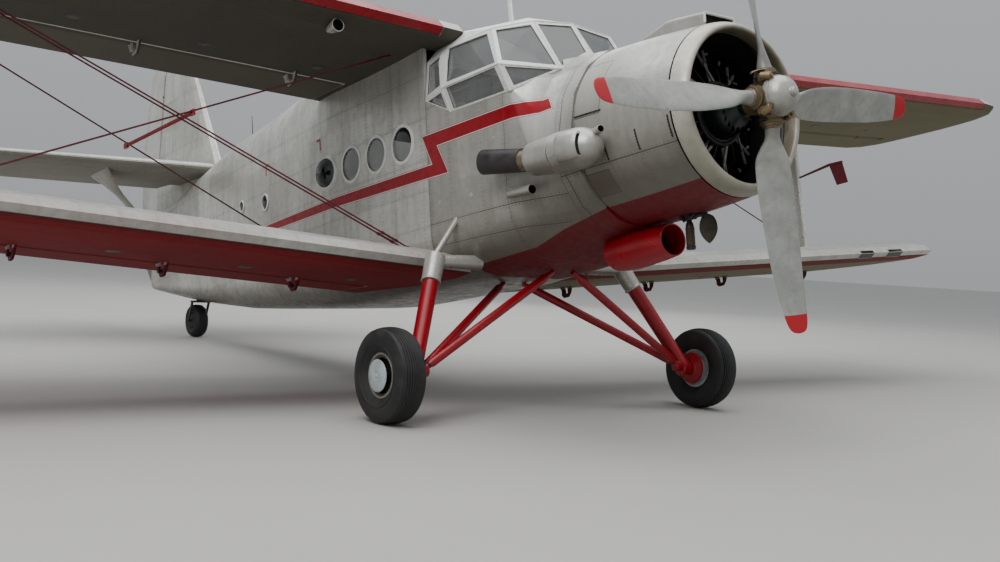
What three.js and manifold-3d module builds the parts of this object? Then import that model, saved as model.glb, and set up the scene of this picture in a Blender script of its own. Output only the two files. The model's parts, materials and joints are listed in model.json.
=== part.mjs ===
// Single-engine cabin biplane with a tail wheel, in millimetres, standing on its three wheels.
// The airframe is drawn in its own level frame: stations run aft from the propeller's plane, +y is port,
// z is measured from the propeller's axis. One turn about y then sets it nose-up on the ground.
import * as THREE from "three";
import { mergeVertices } from "three/addons/utils/BufferGeometryUtils.js";
import { ConvexGeometry } from "three/addons/geometries/ConvexGeometry.js";
import Module from "manifold-3d";

const wasm = await Module();
wasm.setup();

// Driving dimensions
const PARKED_ANGLE = 0.17;
const SEAT = 0.3;
const SECTION_STEPS = 4;
const ROUND = 32;

const WALL = 45;
const FLOOR_Z = -800;
const NOSE_START = 1400;
const CABIN_START = 3380;
const TAIL_START = 6900;

const UPPER_WING = {
  level: "upper", station: 3036, z: 1287, dihedral: 0.0501, incidence: 0.05,
  chord: 2400, root: 600, tip: 9090, tipLength: 560, camber: 0.03, thickness: 0.135,
};
const LOWER_WING = {
  level: "lower", station: 3030, z: -948, dihedral: 0.0753, incidence: 0.0175,
  chord: 2000, root: 560, tip: 7130, tipLength: 480, camber: 0.03, thickness: 0.13,
};
// Shares of the chord: the slat's upper skin, its lower lip and the bulge of the wing's nose between
const SLAT_CHORD = 0.15;
const SLAT_LIP = 0.037;
const SLAT_BULGE = 0.05;
const HINGE_LINE = 0.7;
const SLAT_TRAVEL_GAP = 12;

const PROPELLER = { radius: 1796, rootRadius: 215, turn: 0.073, blades: 4 };
const COWL = { ringFront: 222, ringRear: 365, front: 374, rear: 1360, mouth: 603, wall: 18, collar: 752 };
// The cowl panels' outside, columns: station, radius
const COWL_SKIN = [
  [374, 697],
  [600, 720],
  [900, 745],
  [1200, 765],
  [1360, 773],
];
const FIREWALL_STATION = 1375;
const ENGINE = { station: 800, cylinders: 9, headRadius: 668, barrelRadius: 112, caseRadius: 300 };

const MAIN_WHEEL = { station: 2610, z: -1913, y: 1845, radius: 400, width: 260, rim: 190 };
const TAIL_WHEEL = { station: 10700, z: -690, radius: 235, width: 200, rim: 110 };
const AXLE_RADIUS = 42;
const TAIL_PIVOT_STATION = 10540;

const CARGO_DOOR = { front: 5300, rear: 6760, low: -770, high: 720 };
const CABIN_WINDOW_Z = 371;
const WINDOW_RADIUS = 165;
const STARBOARD_WINDOWS = [3790, 4280, 4770, 5260];
const PORT_WINDOWS = [3790, 4280, 4770];
const PASSENGER_DOOR = { front: 5870, rear: 6680, low: -680, high: 670, window: 6275 };
// Gaps round the cargo door, wider where its edge swings close to the frame
const CARGO_GAP = { front: 6, rear: 14, low: 12, high: 6 };
const PASSENGER_GAP = 8;
// The cargo door's hinge line runs along its top edge, outside the skin; station, y, z
const CARGO_HINGE = { front: [5300, 836.6, 724], rear: [6760, 725.6, 724], stations: [5450, 6030, 6610] };
// The passenger door's hinge line stands inside its front edge
const PASSENGER_HINGE = { station: 5874, y: 716, heights: [-470, 420] };
const KNUCKLE = { radius: 10, length: 30 };

// Materials
const finish = (color, roughness, metalness) =>
  new THREE.MeshStandardMaterial({ color, roughness, metalness });
const SILVER = finish(0xd2d1c8, 0.45, 0.6);
const RED = finish(0xb01018, 0.4, 0.1);
const DARK = finish(0x1c1f1e, 0.55, 0.4);
const RUBBER = finish(0x202124, 0.9, 0);
const BLADE = finish(0xbfc0b8, 0.45, 0.5);
const BRONZE = finish(0x84714a, 0.5, 0.6);
const GLASS = finish(0x9aa3a6, 0.1, 0);
const BARE = finish(0xc4c6c6, 0.3, 0.9);
const SEAT_CLOTH = finish(0x4c4a42, 0.9, 0);
const HUB_BLUE = finish(0xa9bcc0, 0.5, 0.2);

// Solids: geometry to manifold and back
function solidFrom(geometry) {
  const bare = geometry.index ? geometry.toNonIndexed() : geometry.clone();
  bare.deleteAttribute("normal");
  bare.deleteAttribute("uv");
  const merged = mergeVertices(bare, 1e-3);
  const triVerts = new Uint32Array(merged.index.array);
  const build = () =>
    new wasm.Manifold(
      new wasm.Mesh({ numProp: 3, vertProperties: merged.attributes.position.array, triVerts }),
    );
  const made = build();
  if (made.volume() >= 0) return made;
  for (let i = 0; i < triVerts.length; i += 3) {
    [triVerts[i + 1], triVerts[i + 2]] = [triVerts[i + 2], triVerts[i + 1]];
  }
  return build();
}

function geometryFrom(solid) {
  const mesh = solid.getMesh();
  const geometry = new THREE.BufferGeometry();
  const positions = new THREE.BufferAttribute(new Float32Array(mesh.vertProperties), 3);
  geometry.setAttribute("position", positions);
  geometry.setIndex(new THREE.BufferAttribute(new Uint32Array(mesh.triVerts), 1));
  geometry.computeVertexNormals();
  return geometry;
}

const join = (...parts) => geometryFrom(parts.map(solidFrom).reduce((a, b) => a.add(b)));
const cut = (body, ...tools) =>
  geometryFrom(tools.map(solidFrom).reduce((a, b) => a.subtract(b), solidFrom(body)));
const sound = (geometry) => geometryFrom(solidFrom(geometry));
const bothSides = (geometry) => join(geometry, sound(geometry.clone().scale(1, -1, 1)));
const common = (a, b) => geometryFrom(solidFrom(a).intersect(solidFrom(b)));
const at = (station, y, z) => new THREE.Vector3(-station, y, z);

// A skin through rings of equal point counts, closed by a fan at each end
function loft(rings) {
  const count = rings[0].length;
  const positions = [];
  const faces = [];
  for (const ring of rings) for (const p of ring) positions.push(p.x, p.y, p.z);
  for (let r = 0; r + 1 < rings.length; r++) {
    for (let i = 0; i < count; i++) {
      const a = r * count + i;
      const b = r * count + ((i + 1) % count);
      faces.push(a, b, a + count, b, b + count, a + count);
    }
  }
  const fan = (ring, base, flip) => {
    const centre = ring.reduce((sum, p) => sum.add(p), new THREE.Vector3()).divideScalar(count);
    const hub = positions.length / 3;
    positions.push(centre.x, centre.y, centre.z);
    for (let i = 0; i < count; i++) {
      const a = base + i;
      const b = base + ((i + 1) % count);
      if (flip) faces.push(b, a, hub);
      else faces.push(a, b, hub);
    }
  };
  fan(rings[0], 0, true);
  fan(rings[rings.length - 1], (rings.length - 1) * count, false);
  const geometry = new THREE.BufferGeometry();
  geometry.setAttribute("position", new THREE.Float32BufferAttribute(positions, 3));
  geometry.setIndex(faces);
  return geometryFrom(solidFrom(geometry));
}

// A round bar between two points, tapering where the radii differ
function bar(from, to, radius, endRadius = radius, sides = 12) {
  const length = from.distanceTo(to);
  const geometry = new THREE.CylinderGeometry(endRadius, radius, length, sides);
  const turn = new THREE.Quaternion().setFromUnitVectors(
    new THREE.Vector3(0, 1, 0),
    to.clone().sub(from).normalize(),
  );
  geometry.applyQuaternion(turn);
  const middle = from.clone().add(to).multiplyScalar(0.5);
  return geometry.translate(middle.x, middle.y, middle.z);
}

function box(from, to) {
  const size = to.clone().sub(from);
  const middle = from.clone().add(to).multiplyScalar(0.5);
  const geometry = new THREE.BoxGeometry(Math.abs(size.x), Math.abs(size.y), Math.abs(size.z));
  return geometry.translate(middle.x, middle.y, middle.z);
}

// A body of revolution about the propeller's axis: profile rows are [station, radius]
function turned(profile, sides = ROUND) {
  const points = profile.map(([station, radius]) => new THREE.Vector2(radius, -station));
  return sound(new THREE.LatheGeometry(points, sides).rotateZ(-Math.PI / 2));
}

// A body of revolution about a line along y: profile rows are [y, radius]
function wheelTurned(profile, sides) {
  const points = profile.map(([y, radius]) => new THREE.Vector2(radius, y));
  return sound(new THREE.LatheGeometry(points, sides));
}

// An outline in x and z drawn out along y
function spanwise(outline, y0, y1) {
  const shape = new THREE.Shape(outline.map(([x, z]) => new THREE.Vector2(x, z)));
  const geometry = new THREE.ExtrudeGeometry(shape, { depth: y1 - y0, bevelEnabled: false });
  return geometry.rotateX(Math.PI / 2).translate(0, y1, 0);
}

const hull = (points) => new ConvexGeometry(points);

// Fuselage sections: a box outline with its own corner radii below and above
function sectionRing({ station, half, bottom, top, low, high, rise }, shrink = 0) {
  const w = half - shrink;
  const z0 = bottom + shrink;
  const z1 = top - shrink;
  const [lower, upper, tall] = [low, high, rise].map((radius) => Math.max(radius - shrink, 5));
  const corners = [
    [w, z0, lower, lower, -Math.PI / 2],
    [w, z1, upper, tall, 0],
    [-w, z1, upper, tall, Math.PI / 2],
    [-w, z0, lower, lower, Math.PI],
  ];
  return corners.flatMap(([y, z, across, up, start]) =>
    Array.from({ length: SECTION_STEPS + 1 }, (_, i) => {
      const angle = start + (i / SECTION_STEPS) * (Math.PI / 2);
      const cy = y - Math.sign(y) * across;
      const cz = z === z0 ? z0 + up : z1 - up;
      return at(station, cy + across * Math.cos(angle), cz + up * Math.sin(angle));
    }),
  );
}
const sections = (rows) =>
  rows.map(([station, half, bottom, top, low, high, rise = high]) =>
    ({ station, half, bottom, top, low, high, rise }));
const shape = (rows, shrink = 0) => loft(rows.map((row) => sectionRing(row, shrink)));
// The same form grown by the seating gap and run on past both ends, to cut what rests on it
function grown(rows) {
  const first = { ...rows[0], station: rows[0].station - 4 };
  const last = { ...rows[rows.length - 1], station: rows[rows.length - 1].station + 4 };
  return bothSides(shape([first, ...rows, last], -SEAT));
}

// Columns: station, half width, bottom, top, lower corner radius, upper corner radius
const NOSE_ROWS = sections([
  [NOSE_START, 777, -790, 785, 765, 770],
  [1850, 805, -900, 862, 700, 795, 1050],
  [2120, 840, -980, 740, 560, 300],
  [CABIN_START - SEAT, 845, -1030, 740, 430, 60],
]);
const CABIN_ROWS = sections([
  [CABIN_START, 845, -1030, 1500, 430, 90],
  [5100, 840, -1030, 1500, 420, 90],
  [5450, 813, -1025, 1500, 420, 110],
  [5950, 775, -990, 1530, 410, 330],
  [TAIL_START - SEAT, 703, -900, 1545, 400, 500],
]);
const TAIL_ROWS = sections([
  [TAIL_START, 703, -900, 1545, 400, 500],
  [8300, 560, -760, 1500, 340, 440],
  [9700, 400, -545, 1330, 260, 330],
  [10700, 285, -365, 1180, 190, 240],
  [12300, 120, -40, 990, 90, 100],
]);

// Canopy corners, port half: station, y, z
const CANOPY = {
  foot: [1944, 0, 884],
  footCorner: [1836, 460, 660],
  brow: [2175, 0, 1237],
  browCorner: [2180, 460, 1190],
  bulgeFront: [2130, 920, 720],
  postTop: [2500, 680, 1180],
  bulgeRear: [2980, 920, 720],
  roofSide: [3190, 690, 1190],
  lowFront: [2090, 842, 480],
  lowRear: [2970, 842, 500],
  backLow: [3370, 842, 690],
  backHigh: [3370, 800, 1080],
  crown: [2800, 0, 1480],
  crownRear: [3372, 0, 1498],
  shoulder: [2700, 470, 1305],
  shoulderRear: [3372, 520, 1400],
};
const canopyPoint = (name, side = 1) => {
  const [station, y, z] = CANOPY[name];
  return at(station, y * side, z);
};
const canopyPoints = () =>
  Object.keys(CANOPY).flatMap((name) => [canopyPoint(name), canopyPoint(name, -1)]);
const CANOPY_HEART = at(2650, 0, 850);
const canopyHull = (inset) => {
  const reach = new THREE.Vector3(700, 880, 520);
  const scale = reach.clone().subScalar(inset).divide(reach);
  return hull(canopyPoints().map((p) => p.sub(CANOPY_HEART).multiply(scale).add(CANOPY_HEART)));
};
// Panes: their corners, and how far the frame's bars reach over them
const PANES = [
  [["foot", "footCorner", "browCorner", "brow"], 34],
  [["footCorner", "bulgeFront", "postTop", "browCorner"], 38],
  [["footCorner", "lowFront", "bulgeFront"], 40],
  [["bulgeFront", "bulgeRear", "roofSide", "postTop"], 42],
  [["lowFront", "lowRear", "bulgeRear", "bulgeFront"], 42],
  [["bulgeRear", "backLow", "backHigh", "roofSide"], 40],
  [["lowRear", "backLow", "bulgeRear"], 40],
];
function panePrism(corners, inset, depth) {
  const centre = corners
    .reduce((sum, p) => sum.add(p), new THREE.Vector3())
    .divideScalar(corners.length);
  const normal = corners[1].clone().sub(corners[0]).cross(corners[2].clone().sub(corners[0]));
  normal.normalize();
  const inner = corners.map((p) => {
    const reach = p.distanceTo(centre);
    return p.clone().lerp(centre, Math.min((inset * 1.5) / reach, 0.6));
  });
  const out = (sign) => inner.map((p) => p.clone().addScaledVector(normal, sign * depth));
  return hull([...out(1), ...out(-1)]);
}
const paneCutters = () =>
  PANES.flatMap(([names, inset]) =>
    [1, -1].map((side) => panePrism(names.map((n) => canopyPoint(n, side)), inset, 90)),
  );
// The way down into the cockpit and back into the cabin
const canopyMouth = () => [
  box(at(2110, -800, 300), at(2960, 800, 760)),
  box(at(2400, -740, 500), at(3500, 740, 1060)),
];

function canopyFrame() {
  const shell = cut(canopyHull(0), canopyHull(32));
  return cut(shell, ...paneCutters(), ...canopyMouth());
}
function canopyGlazing() {
  const shell = cut(canopyHull(32 + SEAT), canopyHull(40));
  return cut(shell, ...canopyMouth());
}

// Fuselage pieces
const noseShape = (shrink) => shape(NOSE_ROWS, shrink);
const cabinShape = (shrink) => shape(CABIN_ROWS, shrink);

function hollow(rows, wall, from, to) {
  const stretched = rows.map((row) => ({ ...row }));
  stretched[0].station = Math.max(stretched[0].station, from) - (from < stretched[0].station ? 50 : 0);
  stretched[stretched.length - 1].station += to > stretched[stretched.length - 1].station ? 50 : 0;
  const inner = shape(stretched, wall);
  const room = box(at(from, -1200, FLOOR_Z), at(to, 1200, 2000));
  return common(inner, room);
}

function noseSection() {
  const flange = turned([
    [COWL.rear - 25, 0],
    [COWL.rear - 25, COWL.collar - SEAT],
    [FIREWALL_STATION + 30, COWL.collar - SEAT],
    [FIREWALL_STATION + 30, 0],
  ]);
  const bore = COWL.collar - 35;
  const mouth = turned([
    [COWL.rear - 40, 0],
    [COWL.rear - 40, bore],
    [FIREWALL_STATION, bore],
    [FIREWALL_STATION, 0],
  ]);
  const body = join(noseShape(0), flange);
  const room = hollow(NOSE_ROWS, WALL, 1700, CABIN_START + 60);
  return cut(body, mouth, room, canopyHull(-SEAT));
}

const roundWindow = (station, side) =>
  bar(at(station, side * 600, CABIN_WINDOW_Z), at(station, side * 1000, CABIN_WINDOW_Z),
    WINDOW_RADIUS, WINDOW_RADIUS, 16);

function cabinSection() {
  const room = hollow(CABIN_ROWS, WALL, CABIN_START - 60, TAIL_START - 90);
  const doorway = box(
    at(CARGO_DOOR.front, 500, CARGO_DOOR.low),
    at(CARGO_DOOR.rear, 1100, CARGO_DOOR.high),
  );
  const windows = [
    ...STARBOARD_WINDOWS.map((station) => roundWindow(station, -1)),
    ...PORT_WINDOWS.map((station) => roundWindow(station, 1)),
  ];
  const shell = cut(cabinShape(0), room, doorway, ...windows, canopyHull(-SEAT));
  return join(shell, ...cargoKnuckles([[-22, 20], [-22, 60], [-8, 60]], 0));
}

// A hinge's barrel with its leaf: the axis lies along x, the leaf's corners are given in y and z
function knuckle(leaf) {
  return hull([0, KNUCKLE.length].flatMap((x) => [
    ...Array.from({ length: 10 }, (_, i) => {
      const angle = (i / 10) * 2 * Math.PI;
      return new THREE.Vector3(x, KNUCKLE.radius * Math.cos(angle), KNUCKLE.radius * Math.sin(angle));
    }),
    ...leaf.map(([y, z]) => new THREE.Vector3(x, y, z)),
  ]));
}
function cargoKnuckles(leaf, place) {
  const { front, rear, stations } = CARGO_HINGE;
  const slant = Math.atan2(front[1] - rear[1], rear[0] - front[0]);
  const step = place * (KNUCKLE.length + SEAT);
  return stations.map((station) => {
    const share = (station + step - front[0]) / (rear[0] - front[0]);
    const p = at(...front).lerp(at(...rear), share);
    return knuckle(leaf).rotateZ(slant).translate(p.x, p.y, p.z);
  });
}
function passengerKnuckles(leaf, place) {
  const { station, y, heights } = PASSENGER_HINGE;
  return heights.map((z) =>
    knuckle(leaf)
      .rotateY(-Math.PI / 2)
      .translate(-station, y, z + place * (KNUCKLE.length + SEAT)));
}

function cargoDoor() {
  const skin = cut(cabinShape(0), cabinShape(WALL));
  const panel = common(skin, box(
    at(CARGO_DOOR.front + CARGO_GAP.front, 500, CARGO_DOOR.low + CARGO_GAP.low),
    at(CARGO_DOOR.rear - CARGO_GAP.rear, 1100, CARGO_DOOR.high - CARGO_GAP.high),
  ));
  const opening = box(
    at(PASSENGER_DOOR.front, 500, PASSENGER_DOOR.low),
    at(PASSENGER_DOOR.rear, 1100, PASSENGER_DOOR.high),
  );
  return join(
    cut(panel, opening),
    ...cargoKnuckles([[-22, -32], [-22, -46], [-8, -46]], 1),
    ...passengerKnuckles([[16, -60], [36, -24], [36, -60]], 0),
  );
}

function passengerDoor() {
  const gap = PASSENGER_GAP;
  const skin = cut(cabinShape(0), cabinShape(WALL));
  const panel = common(skin, box(
    at(PASSENGER_DOOR.front + gap, 500, PASSENGER_DOOR.low + gap),
    at(PASSENGER_DOOR.rear - gap, 1100, PASSENGER_DOOR.high - gap),
  ));
  return join(
    cut(panel, roundWindow(PASSENGER_DOOR.window, 1)),
    ...passengerKnuckles([[12, 70], [30, 34], [30, 70]], 1),
  );
}

function cockpitInterior() {
  const deck = box(at(2200, -560, FLOOR_Z + SEAT), at(3300, 560, FLOOR_Z + 40));
  const parts = [deck];
  for (const side of [1, -1]) {
    parts.push(box(at(2720, side * 180, FLOOR_Z + 20), at(3180, side * 600, -330)));
    parts.push(box(at(3060, side * 180, -340), at(3190, side * 600, 420)));
  }
  parts.push(box(at(2210, -590, FLOOR_Z + 20), at(2330, 590, 430)));
  return join(...parts);
}

// Engine and cowl
function cowlRing() {
  const under = COWL_SKIN[0][1] - COWL.wall;
  return turned([
    [COWL.ringRear, under],
    [COWL.ringRear, 696],
    [318, 689],
    [272, 676],
    [238, 658],
    [COWL.ringFront, 634],
    [234, 613],
    [278, COWL.mouth],
    [322, 608],
    [330, under],
    [COWL.ringRear, under],
  ]);
}
function cowlPanels() {
  const under = COWL_SKIN[0][1] - COWL.wall;
  const inner = COWL_SKIN.slice(1, -1).map(([station, radius]) => [station, radius - COWL.wall]);
  return turned([
    ...COWL_SKIN,
    [COWL.rear, COWL.collar],
    [COWL.rear - 60, COWL.collar],
    ...inner.reverse(),
    [410, under - 12],
    [340, under - 12],
    [340, under - SEAT],
    [COWL.front, under - SEAT],
    COWL_SKIN[0],
  ]);
}
// Everything inside the cowl's outside and a gap round it, run on to the fuselage
const cowlFill = (gap) => turned([
  [COWL.front - 60, 0],
  [COWL.front - 60, COWL_SKIN[0][1] + gap],
  ...COWL_SKIN.map(([station, radius]) => [station, radius + gap]),
  [NOSE_START, COWL_SKIN[COWL_SKIN.length - 1][1] + gap + 4],
  [NOSE_START, 0],
]);
function engine() {
  const core = turned([
    [195 + SEAT, 0],
    [195 + SEAT, 62],
    [235, 62],
    [240, 105],
    [300, 150],
    [330, 235],
    [560, 290],
    [640, ENGINE.caseRadius],
    [1000, ENGINE.caseRadius],
    [1100, 250],
    [FIREWALL_STATION - SEAT, 250],
    [FIREWALL_STATION - SEAT, 0],
  ], 24);
  const parts = [core];
  for (let i = 0; i < ENGINE.cylinders; i++) {
    const angle = (i / ENGINE.cylinders) * 2 * Math.PI;
    const spoke = (radius) =>
      at(ENGINE.station, radius * Math.sin(angle), radius * Math.cos(angle));
    parts.push(bar(spoke(270), spoke(560), ENGINE.barrelRadius, ENGINE.barrelRadius, 10));
    parts.push(bar(spoke(550), spoke(ENGINE.headRadius), 128, 110, 10));
  }
  return join(...parts);
}

function intakeScoop() {
  const rows = sections([
    [425, 176, 580, 790, 20, 25],
    [770, 172, 580, 834, 20, 30],
    [860, 168, 580, 838, 20, 30],
    [1190, 130, 580, 785, 20, 20],
  ]);
  const throat = shape(rows.slice(0, 2), 12);
  return cut(shape(rows), throat.translate(20, 0, 0), cowlFill(SEAT));
}

function oilCoolerDuct() {
  const rows = [
    [1095, 148, -922, 138],
    [1250, 168, -930, 152],
    [1550, 185, -945, 165],
    [1745, 182, -942, 160],
  ];
  const ring = ([station, half, z, height], shrink) =>
    Array.from({ length: 16 }, (_, i) => {
      const angle = (i / 16) * 2 * Math.PI;
      return at(station, (half - shrink) * Math.cos(angle), z + (height - shrink) * Math.sin(angle));
    });
  const outer = loft(rows.map((row) => ring(row, 0)));
  const bore = rows.map((row) => [...row]);
  bore[0][0] -= 20;
  bore[3][0] += 20;
  const inner = loft(bore.map((row) => ring(row, 12)));
  const core = box(at(1400, -150, -1080), at(1460, 150, -840));
  const tube = cut(outer, inner);
  const cooler = common(core, outer);
  return cut(join(tube, cooler), cowlFill(SEAT), grown(NOSE_ROWS));
}

// The exhaust's shroud, domed in front and tapered behind, columns: station, y, z, radius
const SHROUD = [
  [958, -850, -222, 45],
  [975, -852, -222, 100],
  [1030, -858, -220, 145],
  [1130, -868, -216, 167],
  [1455, -899, -209, 167],
  [1460, -900, -209, 161],
  [1788, -950, -210, 136],
];
const OUTLET = {
  front: [1760, -946, -212], rear: [2330, -1000, -114], frontRadius: 97, rearRadius: 110, wall: 10,
};
// A round body through centres along a nearly straight line
function roundBody(rows, sides) {
  const centres = rows.map(([station, y, z]) => at(station, y, z));
  const along = centres[centres.length - 1].clone().sub(centres[0]).normalize();
  const across = new THREE.Vector3(0, 0, 1).cross(along).normalize();
  const third = along.clone().cross(across);
  return loft(rows.map(([, , , radius], r) =>
    Array.from({ length: sides }, (_, i) => {
      const angle = (i / sides) * 2 * Math.PI;
      return centres[r].clone()
        .addScaledVector(across, radius * Math.cos(angle))
        .addScaledVector(third, radius * Math.sin(angle));
    })));
}
function exhaust() {
  const front = at(...OUTLET.front);
  const rear = at(...OUTLET.rear);
  const { frontRadius, rearRadius, wall } = OUTLET;
  const beyond = rear.clone().add(rear.clone().sub(front).setLength(5));
  const bore = rear.clone().sub(rear.clone().sub(front).setLength(160));
  const pipe = join(roundBody(SHROUD, 20), bar(front, rear, frontRadius, rearRadius, 16));
  return cut(pipe, bar(bore, beyond, rearRadius - wall, rearRadius - wall, 16),
    cowlFill(SEAT), grown(NOSE_ROWS));
}

// Propeller
function propellerHub() {
  const parts = [
    turned([[195, 0], [195, 95], [110, 110], [-90, 135], [-110, 120], [-110, 0]], 18),
    turned([
      [-100, 0],
      [-100, 165],
      [-150, 160],
      [-200, 138],
      [-235, 100],
      [-250, 40],
      [-262, 36],
      [-290, 34],
      [-290, 0],
    ], 18),
  ];
  for (let i = 0; i < PROPELLER.blades; i++) {
    const stub = new THREE.CylinderGeometry(82, 88, PROPELLER.rootRadius - SEAT, 12);
    stub.translate(0, (PROPELLER.rootRadius - SEAT) / 2, 0).rotateX(Math.PI / 2);
    parts.push(stub.rotateX(bladeTurn(i)));
  }
  return join(...parts);
}
const bladeTurn = (i) => Math.PI + PROPELLER.turn + (i * 2 * Math.PI) / PROPELLER.blades;
function propellerBlade() {
  // Columns: radius, chord, thickness, angle from the disc in degrees, shift towards the rear edge
  const rows = [
    [PROPELLER.rootRadius, 132, 132, 40, 0],
    [330, 118, 96, 40, 6],
    [470, 205, 56, 38, 20],
    [640, 262, 44, 33, 14],
    [900, 284, 34, 26, 4],
    [1300, 266, 23, 20, 0],
    [1500, 242, 18, 17, 0],
    [1660, 208, 13, 16, 0],
    [1740, 178, 10, 15, 0],
    [1784, 112, 8, 15, 0],
    [PROPELLER.radius, 40, 6, 15, 0],
  ];
  return loft(rows.map(([radius, chord, thickness, degrees, shift]) => {
    const pitch = THREE.MathUtils.degToRad(degrees);
    const along = new THREE.Vector3(Math.sin(pitch), -Math.cos(pitch), 0);
    const across = new THREE.Vector3(Math.cos(pitch), Math.sin(pitch), 0);
    return Array.from({ length: 12 }, (_, i) => {
      const angle = (i / 12) * 2 * Math.PI;
      return new THREE.Vector3(0, 0, radius)
        .addScaledVector(along, shift + (chord / 2) * Math.cos(angle))
        .addScaledVector(across, (thickness / 2) * Math.sin(angle));
    });
  }));
}

// Wings
// Half thickness and mean line of the aerofoil, as shares of the chord
function aerofoil(wing, x) {
  const t = wing.thickness;
  const thick = 5 * t * (0.2969 * Math.sqrt(x) - 0.126 * x - 0.3516 * x * x
    + 0.2843 * x ** 3 - 0.1015 * x ** 4);
  const m = wing.camber;
  const p = 0.35;
  const mean = x < p ? (m / p ** 2) * (2 * p * x - x * x)
    : (m / (1 - p) ** 2) * (1 - 2 * p + 2 * p * x - x * x);
  return { thick, mean };
}
const AEROFOIL_STEPS = 8;
function aerofoilRing(wing, y, leadInset, trailInset, depth) {
  const chord = wing.chord - leadInset - trailInset;
  const points = [];
  const add = (share, sign) => {
    const { thick, mean } = aerofoil(wing, share);
    const z = wing.chord * (mean + sign * thick) * depth;
    points.push(new THREE.Vector3(-leadInset - share * chord, y, z));
  };
  for (let i = 0; i <= AEROFOIL_STEPS; i++) add((1 + Math.cos((i / AEROFOIL_STEPS) * Math.PI)) / 2, 1);
  for (let i = 1; i <= AEROFOIL_STEPS; i++) add((1 - Math.cos((i / AEROFOIL_STEPS) * Math.PI)) / 2, -1);
  return points;
}
function wingShape(wing) {
  const start = wing.tip - wing.tipLength;
  const shares = [0, 0.45, 0.75, 0.93, 1];
  const rings = [aerofoilRing(wing, wing.root, 0, 0, 1)];
  for (const u of shares) {
    const round = 1 - Math.sqrt(1 - u * u * 0.98);
    rings.push(aerofoilRing(wing, start + u * wing.tipLength,
      round * wing.chord * 0.2, round * wing.chord * 0.34, 1 - 0.72 * round));
  }
  return loft(rings);
}
// The slat's back, from the upper skin round the wing's nose to the shorter lower lip
function noseCurve(wing, gap, far) {
  const upper = aerofoil(wing, SLAT_CHORD);
  const lower = aerofoil(wing, SLAT_LIP);
  const high = wing.chord * (upper.mean + upper.thick);
  const low = wing.chord * (lower.mean - lower.thick);
  const back = [];
  for (let i = 0; i <= 8; i++) {
    const share = i / 8;
    const depth = SLAT_CHORD + (SLAT_LIP - SLAT_CHORD) * share;
    const bulge = SLAT_BULGE * Math.sin(share * Math.PI);
    back.push([gap - wing.chord * (depth - bulge), high + (low - high) * share]);
  }
  const ahead = 0.2 * wing.chord;
  return [...back, [gap - wing.chord * SLAT_LIP, low - far], [ahead, low - far], [ahead, high + far],
    [gap - wing.chord * SLAT_CHORD, high + far]];
}
// The region behind a rounded nose of a trailing surface, in the wing's frame
function trailingRegion(wing, noseShare, far) {
  const middle = noseShare + 0.035;
  const { thick, mean } = aerofoil(wing, middle);
  const outline = [];
  for (let i = 0; i <= 6; i++) {
    const angle = Math.PI / 2 - (i / 6) * Math.PI;
    outline.push([
      -wing.chord * middle + 0.035 * wing.chord * Math.cos(angle),
      wing.chord * mean + wing.chord * thick * 1.02 * Math.sin(angle),
    ]);
  }
  return [[-wing.chord * middle, far], ...outline, [-wing.chord * middle, -far],
    [-wing.chord * 1.2, -far], [-wing.chord * 1.2, far]];
}

// Trailing surfaces, columns: name, wing, inner y, outer y, hinge kind, hinge stations along y
const FLAP_HINGE = { share: 0.735, drop: 70 };
const AILERON_HINGE = { share: 0.745 };
const TRAILING = [
  { name: "upper_flap", wing: UPPER_WING, inner: 900, outer: 5200, kind: "flap", hinges: [1500, 3100, 4700] },
  { name: "aileron", wing: UPPER_WING, inner: 5212, outer: 8500, kind: "aileron", hinges: [5700, 7900] },
  { name: "lower_flap", wing: LOWER_WING, inner: 900, outer: 6600, kind: "flap",
    hinges: [1700, 3000, 4300, 5900] },
];
const SLAT = { inner: 820, outer: 8500 };
// Arms that carry the slat out of slots in the wing's nose
const SLAT_ARM = { stations: [1500, 3500, 5500, 7500], front: -50, rear: -200, z: 30, half: 12, width: 22 };

function hingePoint(piece) {
  const { wing, kind } = piece;
  const share = kind === "flap" ? FLAP_HINGE.share : AILERON_HINGE.share;
  const { thick, mean } = aerofoil(wing, share);
  const z = kind === "flap" ? wing.chord * (mean - thick) - FLAP_HINGE.drop : wing.chord * mean;
  return [-share * wing.chord, z];
}

// A hook under the wing that carries the flap's pivot
function flapHook(piece, y) {
  const { wing } = piece;
  const [px, pz] = hingePoint(piece);
  const root = HINGE_LINE - 0.012;
  const { thick, mean } = aerofoil(wing, root);
  const skin = wing.chord * (mean - thick);
  const rx = -root * wing.chord;
  const hook = [
    [rx + 70, skin + 24],
    [rx - 4, skin + 24],
    [rx - 10, pz - 8],
    [px + 30, pz - 22],
    [px + 18, pz + 18],
    [px - 18, pz + 18],
    [px - 24, pz - 24],
    [px + 6, pz - 56],
    [rx - 14, pz - 52],
    [rx + 30, pz - 6],
  ];
  return spanwise(hook, y, y + 22);
}
function flapHorn(piece, y) {
  const { wing } = piece;
  const [px, pz] = hingePoint(piece);
  const { thick, mean } = aerofoil(wing, 0.75);
  const skin = wing.chord * (mean - thick);
  const horn = [
    [px + 20, pz - 18],
    [px + 10, skin + 16],
    [px - 110, skin + 20],
    [px - 60, skin - 10],
    [px - 20, pz - 18],
  ];
  return spanwise(horn, y + 22 + SEAT, y + 22 + SEAT + 16);
}
function aileronLug(piece, y, grow) {
  const { wing } = piece;
  const [px, pz] = hingePoint(piece);
  const rx = -HINGE_LINE * wing.chord;
  const r = 30;
  const outline = [
    [rx + 60, pz + r],
    [px, pz + r],
    [px - r * 0.7, pz + r * 0.7],
    [px - r, pz],
    [px - r * 0.7, pz - r * 0.7],
    [px, pz - r],
    [rx + 60, pz - r],
  ];
  return spanwise(outline, y - grow, y + 24 + grow);
}
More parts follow.
